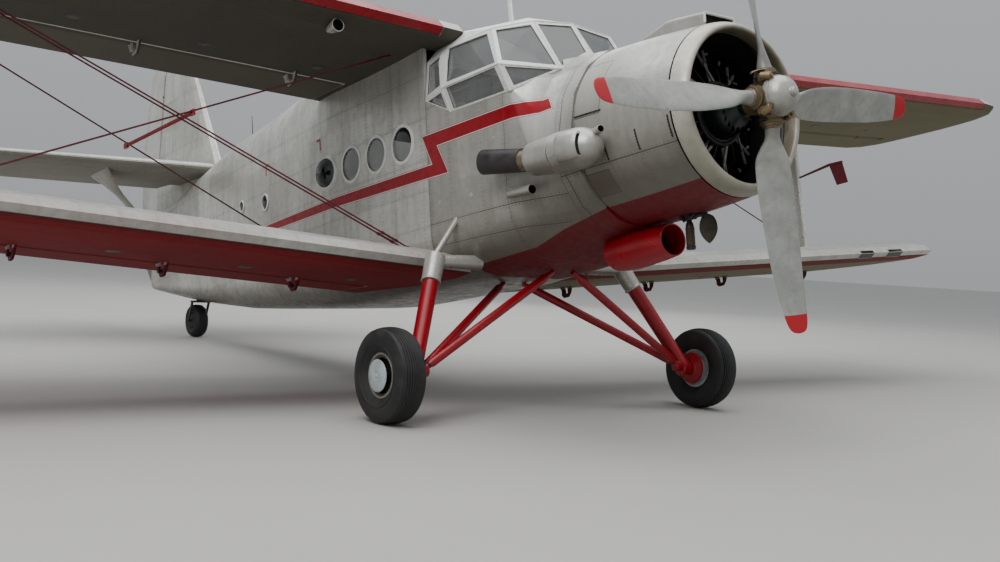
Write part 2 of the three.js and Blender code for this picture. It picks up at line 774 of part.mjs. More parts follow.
function aileronSlot(piece, y) {
  const [px] = hingePoint(piece);
  return box(new THREE.Vector3(px - 48, y - SEAT, -400), new THREE.Vector3(px + 200, y + 24 + SEAT, 400));
}

function trailingSurface(piece) {
  const { wing, inner, outer, kind, hinges } = piece;
  const region = spanwise(trailingRegion(wing, HINGE_LINE + 0.009, 500), inner + 6, outer - 6);
  const body = common(wingShape(wing), region);
  if (kind === "flap") return join(body, ...hinges.map((y) => flapHorn(piece, y)));
  return cut(body, ...hinges.map((y) => aileronSlot(piece, y)));
}

function wingPanel(wing) {
  const pieces = TRAILING.filter((piece) => piece.wing === wing);
  const cutters = pieces.map(({ inner, outer }) =>
    box(
      new THREE.Vector3(-HINGE_LINE * wing.chord, inner, -500),
      new THREE.Vector3(-1.3 * wing.chord, outer, 500),
    ),
  );
  if (wing === UPPER_WING) {
    cutters.push(spanwise(noseCurve(wing, 0, 400), SLAT.inner, SLAT.outer));
    cutters.push(...SLAT_ARM.stations.map((y) => slatArm(y, SEAT)));
  }
  const holders = pieces.flatMap((piece) =>
    piece.hinges.map((y) =>
      piece.kind === "flap" ? flapHook(piece, y) : aileronLug(piece, y, 0),
    ),
  );
  return join(cut(wingShape(wing), ...cutters), ...holders);
}

function slatArm(y, grow) {
  const { front, rear, z, half, width } = SLAT_ARM;
  return box(
    new THREE.Vector3(front, y - grow, z - half - grow),
    new THREE.Vector3(rear - grow * 30, y + width + grow, z + half + grow),
  );
}
function slat() {
  const wing = UPPER_WING;
  const region = spanwise(noseCurve(wing, SLAT_TRAVEL_GAP, 400), SLAT.inner + 8, SLAT.outer - 8);
  return join(common(wingShape(wing), region), ...SLAT_ARM.stations.map((y) => slatArm(y, 0)));
}

// The group that carries one wing's frame: the leading edge at the centre line is its origin
function wingFrame(wing) {
  const frame = new THREE.Group();
  frame.position.copy(at(wing.station, 0, wing.z));
  frame.rotation.x = wing.dihedral;
  const tilt = new THREE.Group();
  tilt.rotation.y = -wing.incidence;
  frame.add(tilt);
  return { frame, tilt };
}

// Geometry carried between the airframe's frame and that of a group placed in it
function intoFrame(geometry, group) {
  group.updateWorldMatrix(true, false);
  return geometry.clone().applyMatrix4(group.matrixWorld.clone().invert());
}
function outOfFrame(geometry, group) {
  group.updateWorldMatrix(true, false);
  return geometry.clone().applyMatrix4(group.matrixWorld);
}

// One wide strut between the wings, narrow at its waist and spread at both ends
const STRUT = { y: 5300, foot: 3800, head: 3960, waist: 150, spread: 400, half: 38 };
function interplaneStrut(roof, floor) {
  const lowZ = LOWER_WING.z + STRUT.y * Math.tan(LOWER_WING.dihedral) + 20;
  const highZ = UPPER_WING.z + STRUT.y * Math.tan(UPPER_WING.dihedral) + 20;
  // Columns: share of the height, half chord
  const rows = [
    [0, STRUT.spread * 1.1],
    [0.09, STRUT.spread * 0.85],
    [0.17, STRUT.waist * 1.3],
    [0.26, STRUT.waist],
    [0.76, STRUT.waist],
    [0.85, STRUT.waist * 1.3],
    [0.93, STRUT.spread * 0.85],
    [1, STRUT.spread * 1.1],
  ];
  const body = loft(rows.map(([share, reach]) => {
    const station = STRUT.foot + (STRUT.head - STRUT.foot) * share;
    const z = lowZ + (highZ - lowZ) * share;
    return Array.from({ length: 12 }, (_, i) => {
      const angle = (i / 12) * 2 * Math.PI;
      return at(station + reach * Math.cos(angle), STRUT.y + STRUT.half * Math.sin(angle), z);
    });
  }));
  const above = box(at(3000, 5000, highZ - 60), at(5600, 5600, highZ + 600));
  const below = box(at(3000, 5000, lowZ - 600), at(5600, 5600, lowZ + 30));
  return cut(body, roof.clone().translate(0, 0, -SEAT), above,
    floor.clone().translate(0, 0, SEAT), below);
}

// Main stays: columns are name, inner end, outer end and the spacing of the pair
const STAYS = [
  { name: "flying_wires", inner: [3572, 953, -703], outer: [3962, 5183, 1438], spacing: 70 },
  { name: "landing_wires", inner: [3700, 900, 1250], outer: [3800, 5200, -400], spacing: 0 },
];
const WIRE_RADIUS = 8;
function stay({ inner, outer, spacing }, roof, floor) {
  const from = at(...inner);
  const to = at(...outer);
  const ends = [roof.clone().translate(0, 0, -SEAT), floor.clone().translate(0, 0, SEAT)];
  if (!spacing) return cut(bar(from, to, WIRE_RADIUS, WIRE_RADIUS, 6), ...ends);
  const aside = new THREE.Vector3(spacing / 2, 0, 0);
  const along = to.clone().sub(from).normalize();
  const lug = (point, sign) => {
    const far = point.clone().addScaledVector(along, sign * 60);
    return hull([1, -1].flatMap((side) => [point, far].flatMap((p) =>
      [-9, 9].flatMap((w) => [-9, 9].map((h) =>
        p.clone().addScaledVector(aside, side * 1.25).add(new THREE.Vector3(0, w, h)))))));
  };
  const wires = [1, -1].map((side) =>
    bar(from.clone().addScaledVector(aside, side), to.clone().addScaledVector(aside, side),
      WIRE_RADIUS, WIRE_RADIUS, 6));
  return cut(join(...wires, lug(from, 1), lug(to, -1)), ...ends);
}

// Tail surfaces: a rounded nose about the hinge line and a thin trailing edge
// Columns: y along the hinge, chord behind it, nose radius
function controlRing([y, chord, nose]) {
  const arc = Array.from({ length: 7 }, (_, i) => {
    const angle = Math.PI / 2 - (i / 6) * Math.PI;
    return new THREE.Vector3(nose * Math.cos(angle), y, nose * Math.sin(angle));
  });
  return [...arc, new THREE.Vector3(-chord, y, -4), new THREE.Vector3(-chord, y, 4)];
}
// Columns: y along the hinge, leading edge ahead of the hinge, half thickness, rear face ahead of it
function fixedRing([y, lead, half, rear], grow = 0) {
  const shares = [[0, 0.12], [0.02, 0.42], [0.1, 0.78], [0.3, 1], [0.65, 0.92], [1, 0.78]];
  const side = (sign) => shares.map(([u, v]) =>
    new THREE.Vector3(lead + grow + (rear - lead - grow) * u, y, sign * (v * half + grow)));
  return [...side(1), ...side(-1).reverse()];
}
function hingeLug(y, rear, radius) {
  const outline = [
    [rear + 40, radius],
    [0, radius],
    [-radius * 0.7, radius * 0.7],
    [-radius, 0],
    [-radius * 0.7, -radius * 0.7],
    [0, -radius],
    [rear + 40, -radius],
  ];
  return spanwise(outline, y, y + 24);
}
const hingeSlot = (y, radius) =>
  box(new THREE.Vector3(-radius - 14, y - SEAT, -300), new THREE.Vector3(300, y + 24 + SEAT, 300));

const NOSE_GAP = 14;
const RUDDER_ROWS = [
  [-1985, 200, 45],
  [-1700, 520, 68],
  [-1150, 740, 80],
  [-600, 800, 80],
  [80, 835, 76],
  [1285, 608, 48],
  [1430, 500, 36],
  [1500, 330, 24],
];
const FIN_ROWS = [
  [-1000, 1950, 150, 80 + NOSE_GAP],
  [-160, 2110, 140, 78 + NOSE_GAP],
  [400, 1705, 105, 70 + NOSE_GAP],
  [1053, 1218, 75, 56 + NOSE_GAP],
  [1400, 930, 48, 42 + NOSE_GAP],
  [1530, 600, 26, 30 + NOSE_GAP],
];
const RUDDER_HINGES = [-1500, -450, 950];
const RUDDER_BASE = { station: 11800, z: 1920, lean: 0.1713 };

function finFrame() {
  const frame = new THREE.Group();
  frame.position.copy(at(RUDDER_BASE.station, 0, RUDDER_BASE.z));
  frame.rotation.y = RUDDER_BASE.lean;
  const upright = new THREE.Group();
  upright.rotation.x = Math.PI / 2;
  frame.add(upright);
  return { frame, upright };
}
const finBody = (grow) => loft(FIN_ROWS.map((row) => fixedRing(row, grow)));
const behindFin = () => box(new THREE.Vector3(-2000, -2600, -900), new THREE.Vector3(80 + NOSE_GAP, 0, 900));
function finPiece(upright) {
  const tail = intoFrame(grown(TAIL_ROWS), upright);
  const lugs = RUDDER_HINGES.slice(1).map((y) => hingeLug(y, 80, 26));
  return join(cut(finBody(0), tail), ...lugs);
}
function rudderPiece() {
  return cut(loft(RUDDER_ROWS.map(controlRing)), ...RUDDER_HINGES.map((y) => hingeSlot(y, 26)));
}
function tailSection(upright) {
  const lug = outOfFrame(hingeLug(RUDDER_HINGES[0], 150, 26), upright);
  return join(cut(shape(TAIL_ROWS), outOfFrame(behindFin(), upright)), lug);
}

const STABILISER = { station: 10970, z: 1410, strutY: 1560 };
const STABILISER_ROWS = [
  [60, 1150, 95, 52 + NOSE_GAP],
  [3000, 1010, 68, 40 + NOSE_GAP],
  [3350, 900, 52, 34 + NOSE_GAP],
  [3540, 690, 34, 26 + NOSE_GAP],
  [3600, 480, 20, 22 + NOSE_GAP],
];
const ELEVATOR_ROWS = [
  [230, 600, 52],
  [3000, 560, 40],
  [3350, 500, 34],
  [3540, 380, 24],
  [3600, 250, 16],
];
const ELEVATOR_HINGES = [500, 1900, 3200];
function stabiliserPiece(frame, upright) {
  const fin = intoFrame(bothSides(outOfFrame(finBody(SEAT), upright)), frame);
  const tail = intoFrame(grown(TAIL_ROWS), frame);
  const lugs = ELEVATOR_HINGES.map((y) => hingeLug(y, 40, 24));
  return join(cut(loft(STABILISER_ROWS.map((row) => fixedRing(row))), fin, tail), ...lugs);
}
function elevatorPiece() {
  return cut(loft(ELEVATOR_ROWS.map(controlRing)), ...ELEVATOR_HINGES.map((y) => hingeSlot(y, 24)));
}
function stabiliserStrut(frame) {
  const low = at(10560, 240, 60);
  const high = at(10420, STABILISER.strutY, STABILISER.z);
  // Columns: share of the length, half chord
  const rows = [[0, 110], [0.5, 85], [0.72, 110], [0.86, 230], [1, 430]];
  const body = loft(rows.map(([share, reach]) => {
    const p = low.clone().lerp(high, share);
    return Array.from({ length: 10 }, (_, i) => {
      const angle = (i / 10) * 2 * Math.PI;
      return p.clone().add(new THREE.Vector3(reach * Math.cos(angle), 26 * Math.sin(angle), 0));
    });
  }));
  const plane = outOfFrame(loft(STABILISER_ROWS.map((row) => fixedRing(row))), frame);
  const above = box(at(9000, 1000, STABILISER.z - 20), at(11800, 2200, STABILISER.z + 400));
  return cut(body, plane.translate(0, 0, -SEAT), above, grown(TAIL_ROWS));
}

// Landing gear
const GEAR = {
  legTop: [2920, 1130, -900],
  legFoot: [2608, 1610, -1905],
  legRadius: 72,
  inboardTop: [2900, 650, -900],
  stayTop: [2975, 790, -450],
  stayFoot: [2940, 1120, -860],
  braceFoot: [2610, 1540, -1885],
  braces: [[2500, 100, -1000], [3250, 100, -1020]],
};
function mainLeg(grow = 0) {
  const top = at(...GEAR.legTop);
  const foot = at(...GEAR.legFoot);
  const end = foot.clone().add(foot.clone().sub(top).setLength(grow));
  const cuff = top.clone().lerp(foot, 0.2);
  const axleIn = at(MAIN_WHEEL.station, 1560 - grow, MAIN_WHEEL.z);
  const axleOut = at(MAIN_WHEEL.station, MAIN_WHEEL.y + 84, MAIN_WHEEL.z);
  const parts = [
    bar(top, end, GEAR.legRadius + grow, GEAR.legRadius - 6 + grow, 12),
    bar(top.clone().lerp(foot, -0.04), cuff, 92 + grow, 84 + grow, 12),
    bar(axleIn, axleOut, AXLE_RADIUS + grow, AXLE_RADIUS + grow, 16),
    bar(axleIn, at(MAIN_WHEEL.station, 1690, MAIN_WHEEL.z), 74 + grow, 60 + grow, 12),
    bar(top, at(...GEAR.inboardTop), 60 + grow, 70 + grow, 12),
    bar(at(...GEAR.stayFoot), at(...GEAR.stayTop), 28 + grow, 28 + grow, 10),
  ];
  return cut(join(...parts), grown(NOSE_ROWS));
}
function gearBraces() {
  const foot = at(...GEAR.braceFoot);
  const parts = GEAR.braces.map((head) => bar(foot, at(...head), 40, 40, 12));
  parts.push(bar(at(2610, 1470, -1885), at(2610, 1560, -1885), 55, 55, 12));
  return cut(join(...parts), mainLeg(2 * SEAT), grown(NOSE_ROWS));
}

// Columns: y from the wheel's middle, radius
function tyre({ radius, width, rim }) {
  const half = width / 2;
  const flank = (sign) => [
    [sign * half * 0.66, rim],
    [sign * half, (rim + radius) / 2 - 10],
    [sign * half * 0.92, radius - 50],
    [sign * half * 0.62, radius - 10],
  ];
  const profile = [...flank(-1), [0, radius], ...flank(1).reverse(), [-half * 0.66, rim]];
  return wheelTurned(profile, 28);
}
const BORE = AXLE_RADIUS + 0.5;
function mainRim() {
  const r = MAIN_WHEEL.rim - SEAT;
  return wheelTurned([
    [-95, BORE],
    [-95, 80],
    [-62, 95],
    [-62, r - 22],
    [-88, r],
    [88, r],
    [70, r - 22],
    [78, 140],
    [104, 112],
    [124, 62],
    [132, 22],
    [134, 0],
    [96, 0],
    [96, BORE],
    [-95, BORE],
  ], 28);
}
const TAIL_AXLE = 18;
function tailWheel() {
  const { radius, width, rim } = TAIL_WHEEL;
  const core = wheelTurned([
    [-92, TAIL_AXLE + 0.6],
    [-92, 50],
    [-60, rim + 6],
    [60, rim + 6],
    [92, 50],
    [92, TAIL_AXLE + 0.6],
    [-92, TAIL_AXLE + 0.6],
  ], 20);
  const half = width / 2;
  const flank = (sign) => [
    [sign * half * 0.55, rim],
    [sign * half, (rim + radius) / 2 - 5],
    [sign * half * 0.9, radius - 30],
    [sign * half * 0.55, radius - 5],
  ];
  const tread = wheelTurned([...flank(-1), [0, radius], ...flank(1).reverse(), [-half * 0.55, rim]], 20);
  return join(core, tread);
}
// The tail fork's own frame stands upright on the ground, over its swivel axis
const FORK = { crownTop: -408, crownBottom: -442, arm: 126 };
function tailStrut(fork) {
  const stub = bar(new THREE.Vector3(0, 0, 200), new THREE.Vector3(0, 0, 0), 62, 62, 16);
  return cut(stub, intoFrame(grown(TAIL_ROWS), fork));
}

// Assembly
const airframe = new THREE.Group();
function piece(name, geometry, material, parent = airframe) {
  const mesh = new THREE.Mesh(geometry, material);
  mesh.name = name;
  parent.add(mesh);
  return mesh;
}

const SIDES = [["port", 1], ["starboard", -1]];

piece("fuselage_nose", noseSection(), SILVER);
piece("fuselage_cabin", cabinSection(), SILVER);
piece("cockpit_interior", cockpitInterior(), SEAT_CLOTH);
piece("canopy_frame", canopyFrame(), SILVER);
piece("canopy_glazing", canopyGlazing(), GLASS);
piece("cargo_door", cargoDoor(), SILVER);
piece("passenger_door", passengerDoor(), SILVER);
piece("cowl_ring", cowlRing(), SILVER);
piece("cowl_panels", cowlPanels(), SILVER);
piece("engine", engine(), DARK);
piece("intake_scoop", intakeScoop(), SILVER);
piece("oil_cooler_duct", oilCoolerDuct(), RED);
piece("exhaust_pipe", exhaust(), BARE);
piece("propeller_hub", propellerHub(), BRONZE);
for (let i = 0; i < PROPELLER.blades; i++) {
  const blade = piece("propeller_blade_" + (i + 1), propellerBlade(), BLADE);
  blade.rotation.x = bladeTurn(i);
}

const { frame: tailFrame, upright } = finFrame();
piece("fuselage_tail", tailSection(upright), SILVER);
piece("fin", finPiece(upright), SILVER, upright);
piece("rudder", rudderPiece(), SILVER, upright);
airframe.add(tailFrame);

for (const [side, sign] of SIDES) {
  const half = new THREE.Group();
  const levels = [UPPER_WING, LOWER_WING].map((wing) => ({ wing, ...wingFrame(wing) }));
  const body = join(grown(NOSE_ROWS), grown(CABIN_ROWS));
  for (const { wing, tilt } of levels) {
    const panel = cut(wingPanel(wing), intoFrame(body, tilt), intoFrame(canopyHull(-SEAT), tilt));
    piece(wing.level + "_wing_" + side, panel, SILVER, tilt);
    for (const item of TRAILING.filter((entry) => entry.wing === wing)) {
      piece(item.name + "_" + side, trailingSurface(item), SILVER, tilt);
    }
  }
  piece("slat_" + side, slat(), RED, levels[0].tilt);
  const [roof, floor] = levels.map(({ wing, tilt }) => outOfFrame(wingShape(wing), tilt));
  piece("wing_strut_" + side, interplaneStrut(roof, floor), SILVER, half);
  for (const entry of STAYS) piece(entry.name + "_" + side, stay(entry, roof, floor), RED, half);

  const tailplane = new THREE.Group();
  tailplane.position.copy(at(STABILISER.station, 0, STABILISER.z));
  piece("stabiliser_" + side, stabiliserPiece(tailplane, upright), SILVER, tailplane);
  piece("elevator_" + side, elevatorPiece(), SILVER, tailplane);
  piece("stabiliser_strut_" + side, stabiliserStrut(tailplane), SILVER, half);

  piece("gear_leg_" + side, mainLeg(), RED, half);
  piece("gear_braces_" + side, gearBraces(), RED, half);
  const wheel = new THREE.Group();
  wheel.position.copy(at(MAIN_WHEEL.station, MAIN_WHEEL.y, MAIN_WHEEL.z));
  piece("main_tyre_" + side, tyre(MAIN_WHEEL), RUBBER, wheel);
  piece("main_rim_" + side, mainRim(), HUB_BLUE, wheel);
  half.add(...levels.map((level) => level.frame), tailplane, wheel);
  half.scale.y = sign;
  airframe.add(half);
}

const fork = new THREE.Group();
fork.position.copy(at(TAIL_PIVOT_STATION, 0, FORK.crownTop));
fork.rotation.y = PARKED_ANGLE;
const wheelOffset = at(TAIL_WHEEL.station, 0, TAIL_WHEEL.z)
  .sub(fork.position)
  .applyAxisAngle(new THREE.Vector3(0, 1, 0), -PARKED_ANGLE);
function tailFork() {
  const depth = FORK.crownTop - FORK.crownBottom;
  const crown = bar(new THREE.Vector3(0, 0, -SEAT), new THREE.Vector3(0, 0, -depth), 60, 60, 16);
  const beam = box(
    new THREE.Vector3(-40, -FORK.arm - 12, -depth),
    new THREE.Vector3(40, FORK.arm + 12, -depth + 26),
  );
  const parts = [crown, beam];
  for (const sign of [1, -1]) {
    const y = sign * FORK.arm;
    const top = new THREE.Vector3(0, y, -depth + 10);
    const end = new THREE.Vector3(wheelOffset.x, y, wheelOffset.z);
    const across = [new THREE.Vector3(26, 0, 12), new THREE.Vector3(-26, 0, -12)];
    parts.push(hull([top, end].flatMap((p) => across.flatMap((d) =>
      [-11, 11].map((w) => p.clone().add(d).add(new THREE.Vector3(0, w, 0)))))));
    const pinEnd = end.clone().setY(sign * 70);
    parts.push(bar(end, pinEnd, TAIL_AXLE, TAIL_AXLE, 16));
  }
  return join(...parts);
}
piece("tail_strut", tailStrut(fork), DARK, fork);
piece("tail_fork", tailFork(), DARK, fork);
const tailHub = new THREE.Group();
tailHub.position.copy(wheelOffset);
piece("tail_wheel", tailWheel(), RUBBER, tailHub);
fork.add(tailHub);
airframe.add(fork);

// The whole stands with its wheels on z = 0, the middle of its bounds over the origin
const model = new THREE.Group();
airframe.rotation.y = -PARKED_ANGLE;
model.add(airframe);
model.updateMatrixWorld(true);
const bounds = new THREE.Box3().setFromObject(model, true);
const middle = bounds.getCenter(new THREE.Vector3());
airframe.position.set(-middle.x, -middle.y, -bounds.min.z);

export default model;
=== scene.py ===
"""Looks of a single-engine cabin biplane standing on its tail wheel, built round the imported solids.

Lengths are metres. A(s, y, z) places a point by the aircraft's own level frame: s is the station aft of
the propeller's plane, y is to port, z is above the propeller's axis.
"""
import json
import math
import bmesh
import bpy
from mathutils import Matrix, Vector
from mathutils.bvhtree import BVHTree


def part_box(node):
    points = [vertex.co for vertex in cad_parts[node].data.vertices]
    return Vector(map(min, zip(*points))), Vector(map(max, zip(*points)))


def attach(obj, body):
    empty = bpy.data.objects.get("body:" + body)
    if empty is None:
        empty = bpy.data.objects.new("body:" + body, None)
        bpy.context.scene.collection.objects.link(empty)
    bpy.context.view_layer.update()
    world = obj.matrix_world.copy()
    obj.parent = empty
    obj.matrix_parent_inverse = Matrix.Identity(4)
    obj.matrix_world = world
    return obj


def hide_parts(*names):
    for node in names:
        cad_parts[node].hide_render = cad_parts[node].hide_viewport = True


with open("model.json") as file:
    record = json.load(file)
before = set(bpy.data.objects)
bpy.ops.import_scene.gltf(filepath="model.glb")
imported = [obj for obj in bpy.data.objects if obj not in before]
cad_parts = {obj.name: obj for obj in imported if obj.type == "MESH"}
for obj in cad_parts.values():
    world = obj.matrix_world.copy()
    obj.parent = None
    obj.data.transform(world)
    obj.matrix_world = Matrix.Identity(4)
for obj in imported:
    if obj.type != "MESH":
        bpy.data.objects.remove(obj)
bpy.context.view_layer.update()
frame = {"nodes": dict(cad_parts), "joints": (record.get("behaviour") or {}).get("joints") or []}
NODES = frame["nodes"]
JOINTS = {joint["name"]: joint for joint in frame["joints"]}

# The aircraft's level frame, from the propeller's joint
HUB = Vector(JOINTS["propeller_spin"]["pos_m"])
FORWARD = Vector(JOINTS["propeller_spin"]["axis"])
LEAN = math.asin(FORWARD.z)
UPWARD = Vector((-math.sin(LEAN), 0, math.cos(LEAN)))
PORT = Vector((0, 1, 0))
SIDES = (("port", 1), ("starboard", -1))


def A(s, y, z):
    return HUB - FORWARD * s + PORT * y + UPWARD * z


def sided(point, sign):
    """A point given for the port side, placed to port (1) or to starboard (-1)."""
    return A(point[0], point[1] * sign, point[2])


def turns(count):
    """The angles of a full circle in even steps."""
    return [2 * math.pi * k / count for k in range(count)]


def spokes(axis, count):
    """Unit vectors square to an axis, in even steps round it."""
    across = axis.orthogonal().normalized()
    third = axis.cross(across)
    return [across * math.cos(t) + third * math.sin(t) for t in turns(count)]


def between(rows, x):
    """The other columns of a table where its first column is x, in straight lines between its rows."""
    for first, last in zip(rows, rows[1:]):
        if first[0] <= x <= last[0]:
            share = (x - first[0]) / (last[0] - first[0])
            return [a + (b - a) * share for a, b in zip(first[1:], last[1:])]
    return rows[-1][1:]


# Vertices nearer than this are one
MERGE = 1e-5


# Forms: vertices and faces gathered in metres, with a material index for each face
class Form:
    def __init__(self):
        self.verts = []
        self.faces = []
        self.slots = []

    def add(self, verts, faces, slot=0):
        base = len(self.verts)
        self.verts += [tuple(v) for v in verts]
        self.faces += [tuple(base + i for i in face) for face in faces]
        self.slots += [slot] * len(faces)
        return self

    def rings(self, rings, slot=0, caps=True, loop=False):
        count = len(rings[0])
        faces = []
        last = len(rings) if loop else len(rings) - 1
        for r in range(last):
            for i in range(count):
                a = r * count + i
                b = r * count + (i + 1) % count
                step = count if r + 1 < len(rings) else -r * count
                faces.append((a, b, b + step, a + step))
        if caps and not loop:
            faces.append(tuple(reversed(range(count))))
            faces.append(tuple((len(rings) - 1) * count + i for i in range(count)))
        return self.add([p for ring in rings for p in ring], faces, slot)

    def turned(self, profile, centre, axis, sides=32, slot=0, caps=False, loop=False):
        """A profile of (distance along the axis, radius) turned about it."""
        axis = Vector(axis).normalized()
        rings = [[centre + axis * d + spoke * max(r, MERGE) for spoke in spokes(axis, sides)]
                 for d, r in profile]
        return self.rings(rings, slot, caps, loop)

    def drum(self, low, high, radius, centre, axis, sides, slot=0):
        """A closed cylinder between two distances along the axis."""
        profile = [(low, 0.0), (low, radius), (high, radius), (high, 0.0)]
        return self.turned(profile, centre, axis, sides, slot)

    def tube(self, points, radius, sides=12, slot=0):
        """A round bar along points; radius is one number or one for each point."""
        points = [Vector(p) for p in points]
        radii = radius if isinstance(radius, (list, tuple)) else [radius] * len(points)
        first = (points[1] - points[0]).normalized()
        across = first.orthogonal().normalized()
        rings = []
        for i, p in enumerate(points):
            before = (p - points[i - 1]).normalized() if i else first
            after = (points[i + 1] - p).normalized() if i + 1 < len(points) else before
            along = (before + after).normalized()
            across = (across - along * across.dot(along)).normalized()
            third = along.cross(across)
            rings.append([p + (across * math.cos(t) + third * math.sin(t)) * radii[i] for t in turns(sides)])
        return self.rings(rings, slot)

    def block(self, centre, size, axes=None, slot=0):
        x, y, z = axes or (FORWARD, PORT, UPWARD)
        corners = [centre + x * (size[0] / 2 * i) + y * (size[1] / 2 * j) + z * (size[2] / 2 * k)
                   for i in (-1, 1) for j in (-1, 1) for k in (-1, 1)]
        faces = [(0, 1, 3, 2), (4, 6, 7, 5), (0, 4, 5, 1), (2, 3, 7, 6), (0, 2, 6, 4), (1, 5, 7, 3)]
        return self.add(corners, faces, slot)

    def dome(self, centre, axis, radius, slot=0, sides=6):
        """A rivet or bolt head."""
        axis = Vector(axis).normalized()
        low = [centre + spoke * radius for spoke in spokes(axis, sides)]
        mid = [centre + axis * radius * 0.45 + (p - centre) * 0.6 for p in low]
        return self.rings([low, mid], slot)

    def make(self, name, keys, body="airframe", smooth=40, bevel=0.0, replaces=None):
        """The named piece, with the materials of the keys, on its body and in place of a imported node."""
        mesh = bpy.data.meshes.new(name)
        mesh.from_pydata(self.verts, [], self.faces)
        for key in keys.split():
            mesh.materials.append(M[key])
        mesh.polygons.foreach_set("material_index", self.slots)
        work = bmesh.new()
        work.from_mesh(mesh)
        bmesh.ops.remove_doubles(work, verts=work.verts, dist=MERGE)
        bmesh.ops.recalc_face_normals(work, faces=work.faces)
        work.to_mesh(mesh)
        work.free()
        mesh.polygons.foreach_set("use_smooth", [True] * len(mesh.polygons))
        mesh.set_sharp_from_angle(angle=math.radians(smooth))
        piece = bpy.data.objects.new(name, mesh)
        bpy.context.scene.collection.objects.link(piece)
        if bevel:
            edge = piece.modifiers.new("edge", "BEVEL")
            edge.width = bevel
            edge.segments = 2
            edge.limit_method = "ANGLE"
            edge.angle_limit = math.radians(50)
            edge.harden_normals = True
        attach(piece, body)
        if replaces:
            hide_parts(replaces)
        return piece


def smoothed(rows, steps):
    """Catmull-Rom points through rows of numbers."""
    result = []
    for i in range(len(rows) - 1):
        p = [rows[max(i - 1, 0)], rows[i], rows[i + 1], rows[min(i + 2, len(rows) - 1)]]
        for k in range(steps):
            t = k / steps
            result.append(tuple(
                0.5 * (2 * b + (c - a) * t + (2 * a - 5 * b + 4 * c - d) * t * t
                       + (3 * b - a - 3 * c + d) * t ** 3)
                for a, b, c, d in zip(*p)))
    result.append(tuple(rows[-1]))
    return result


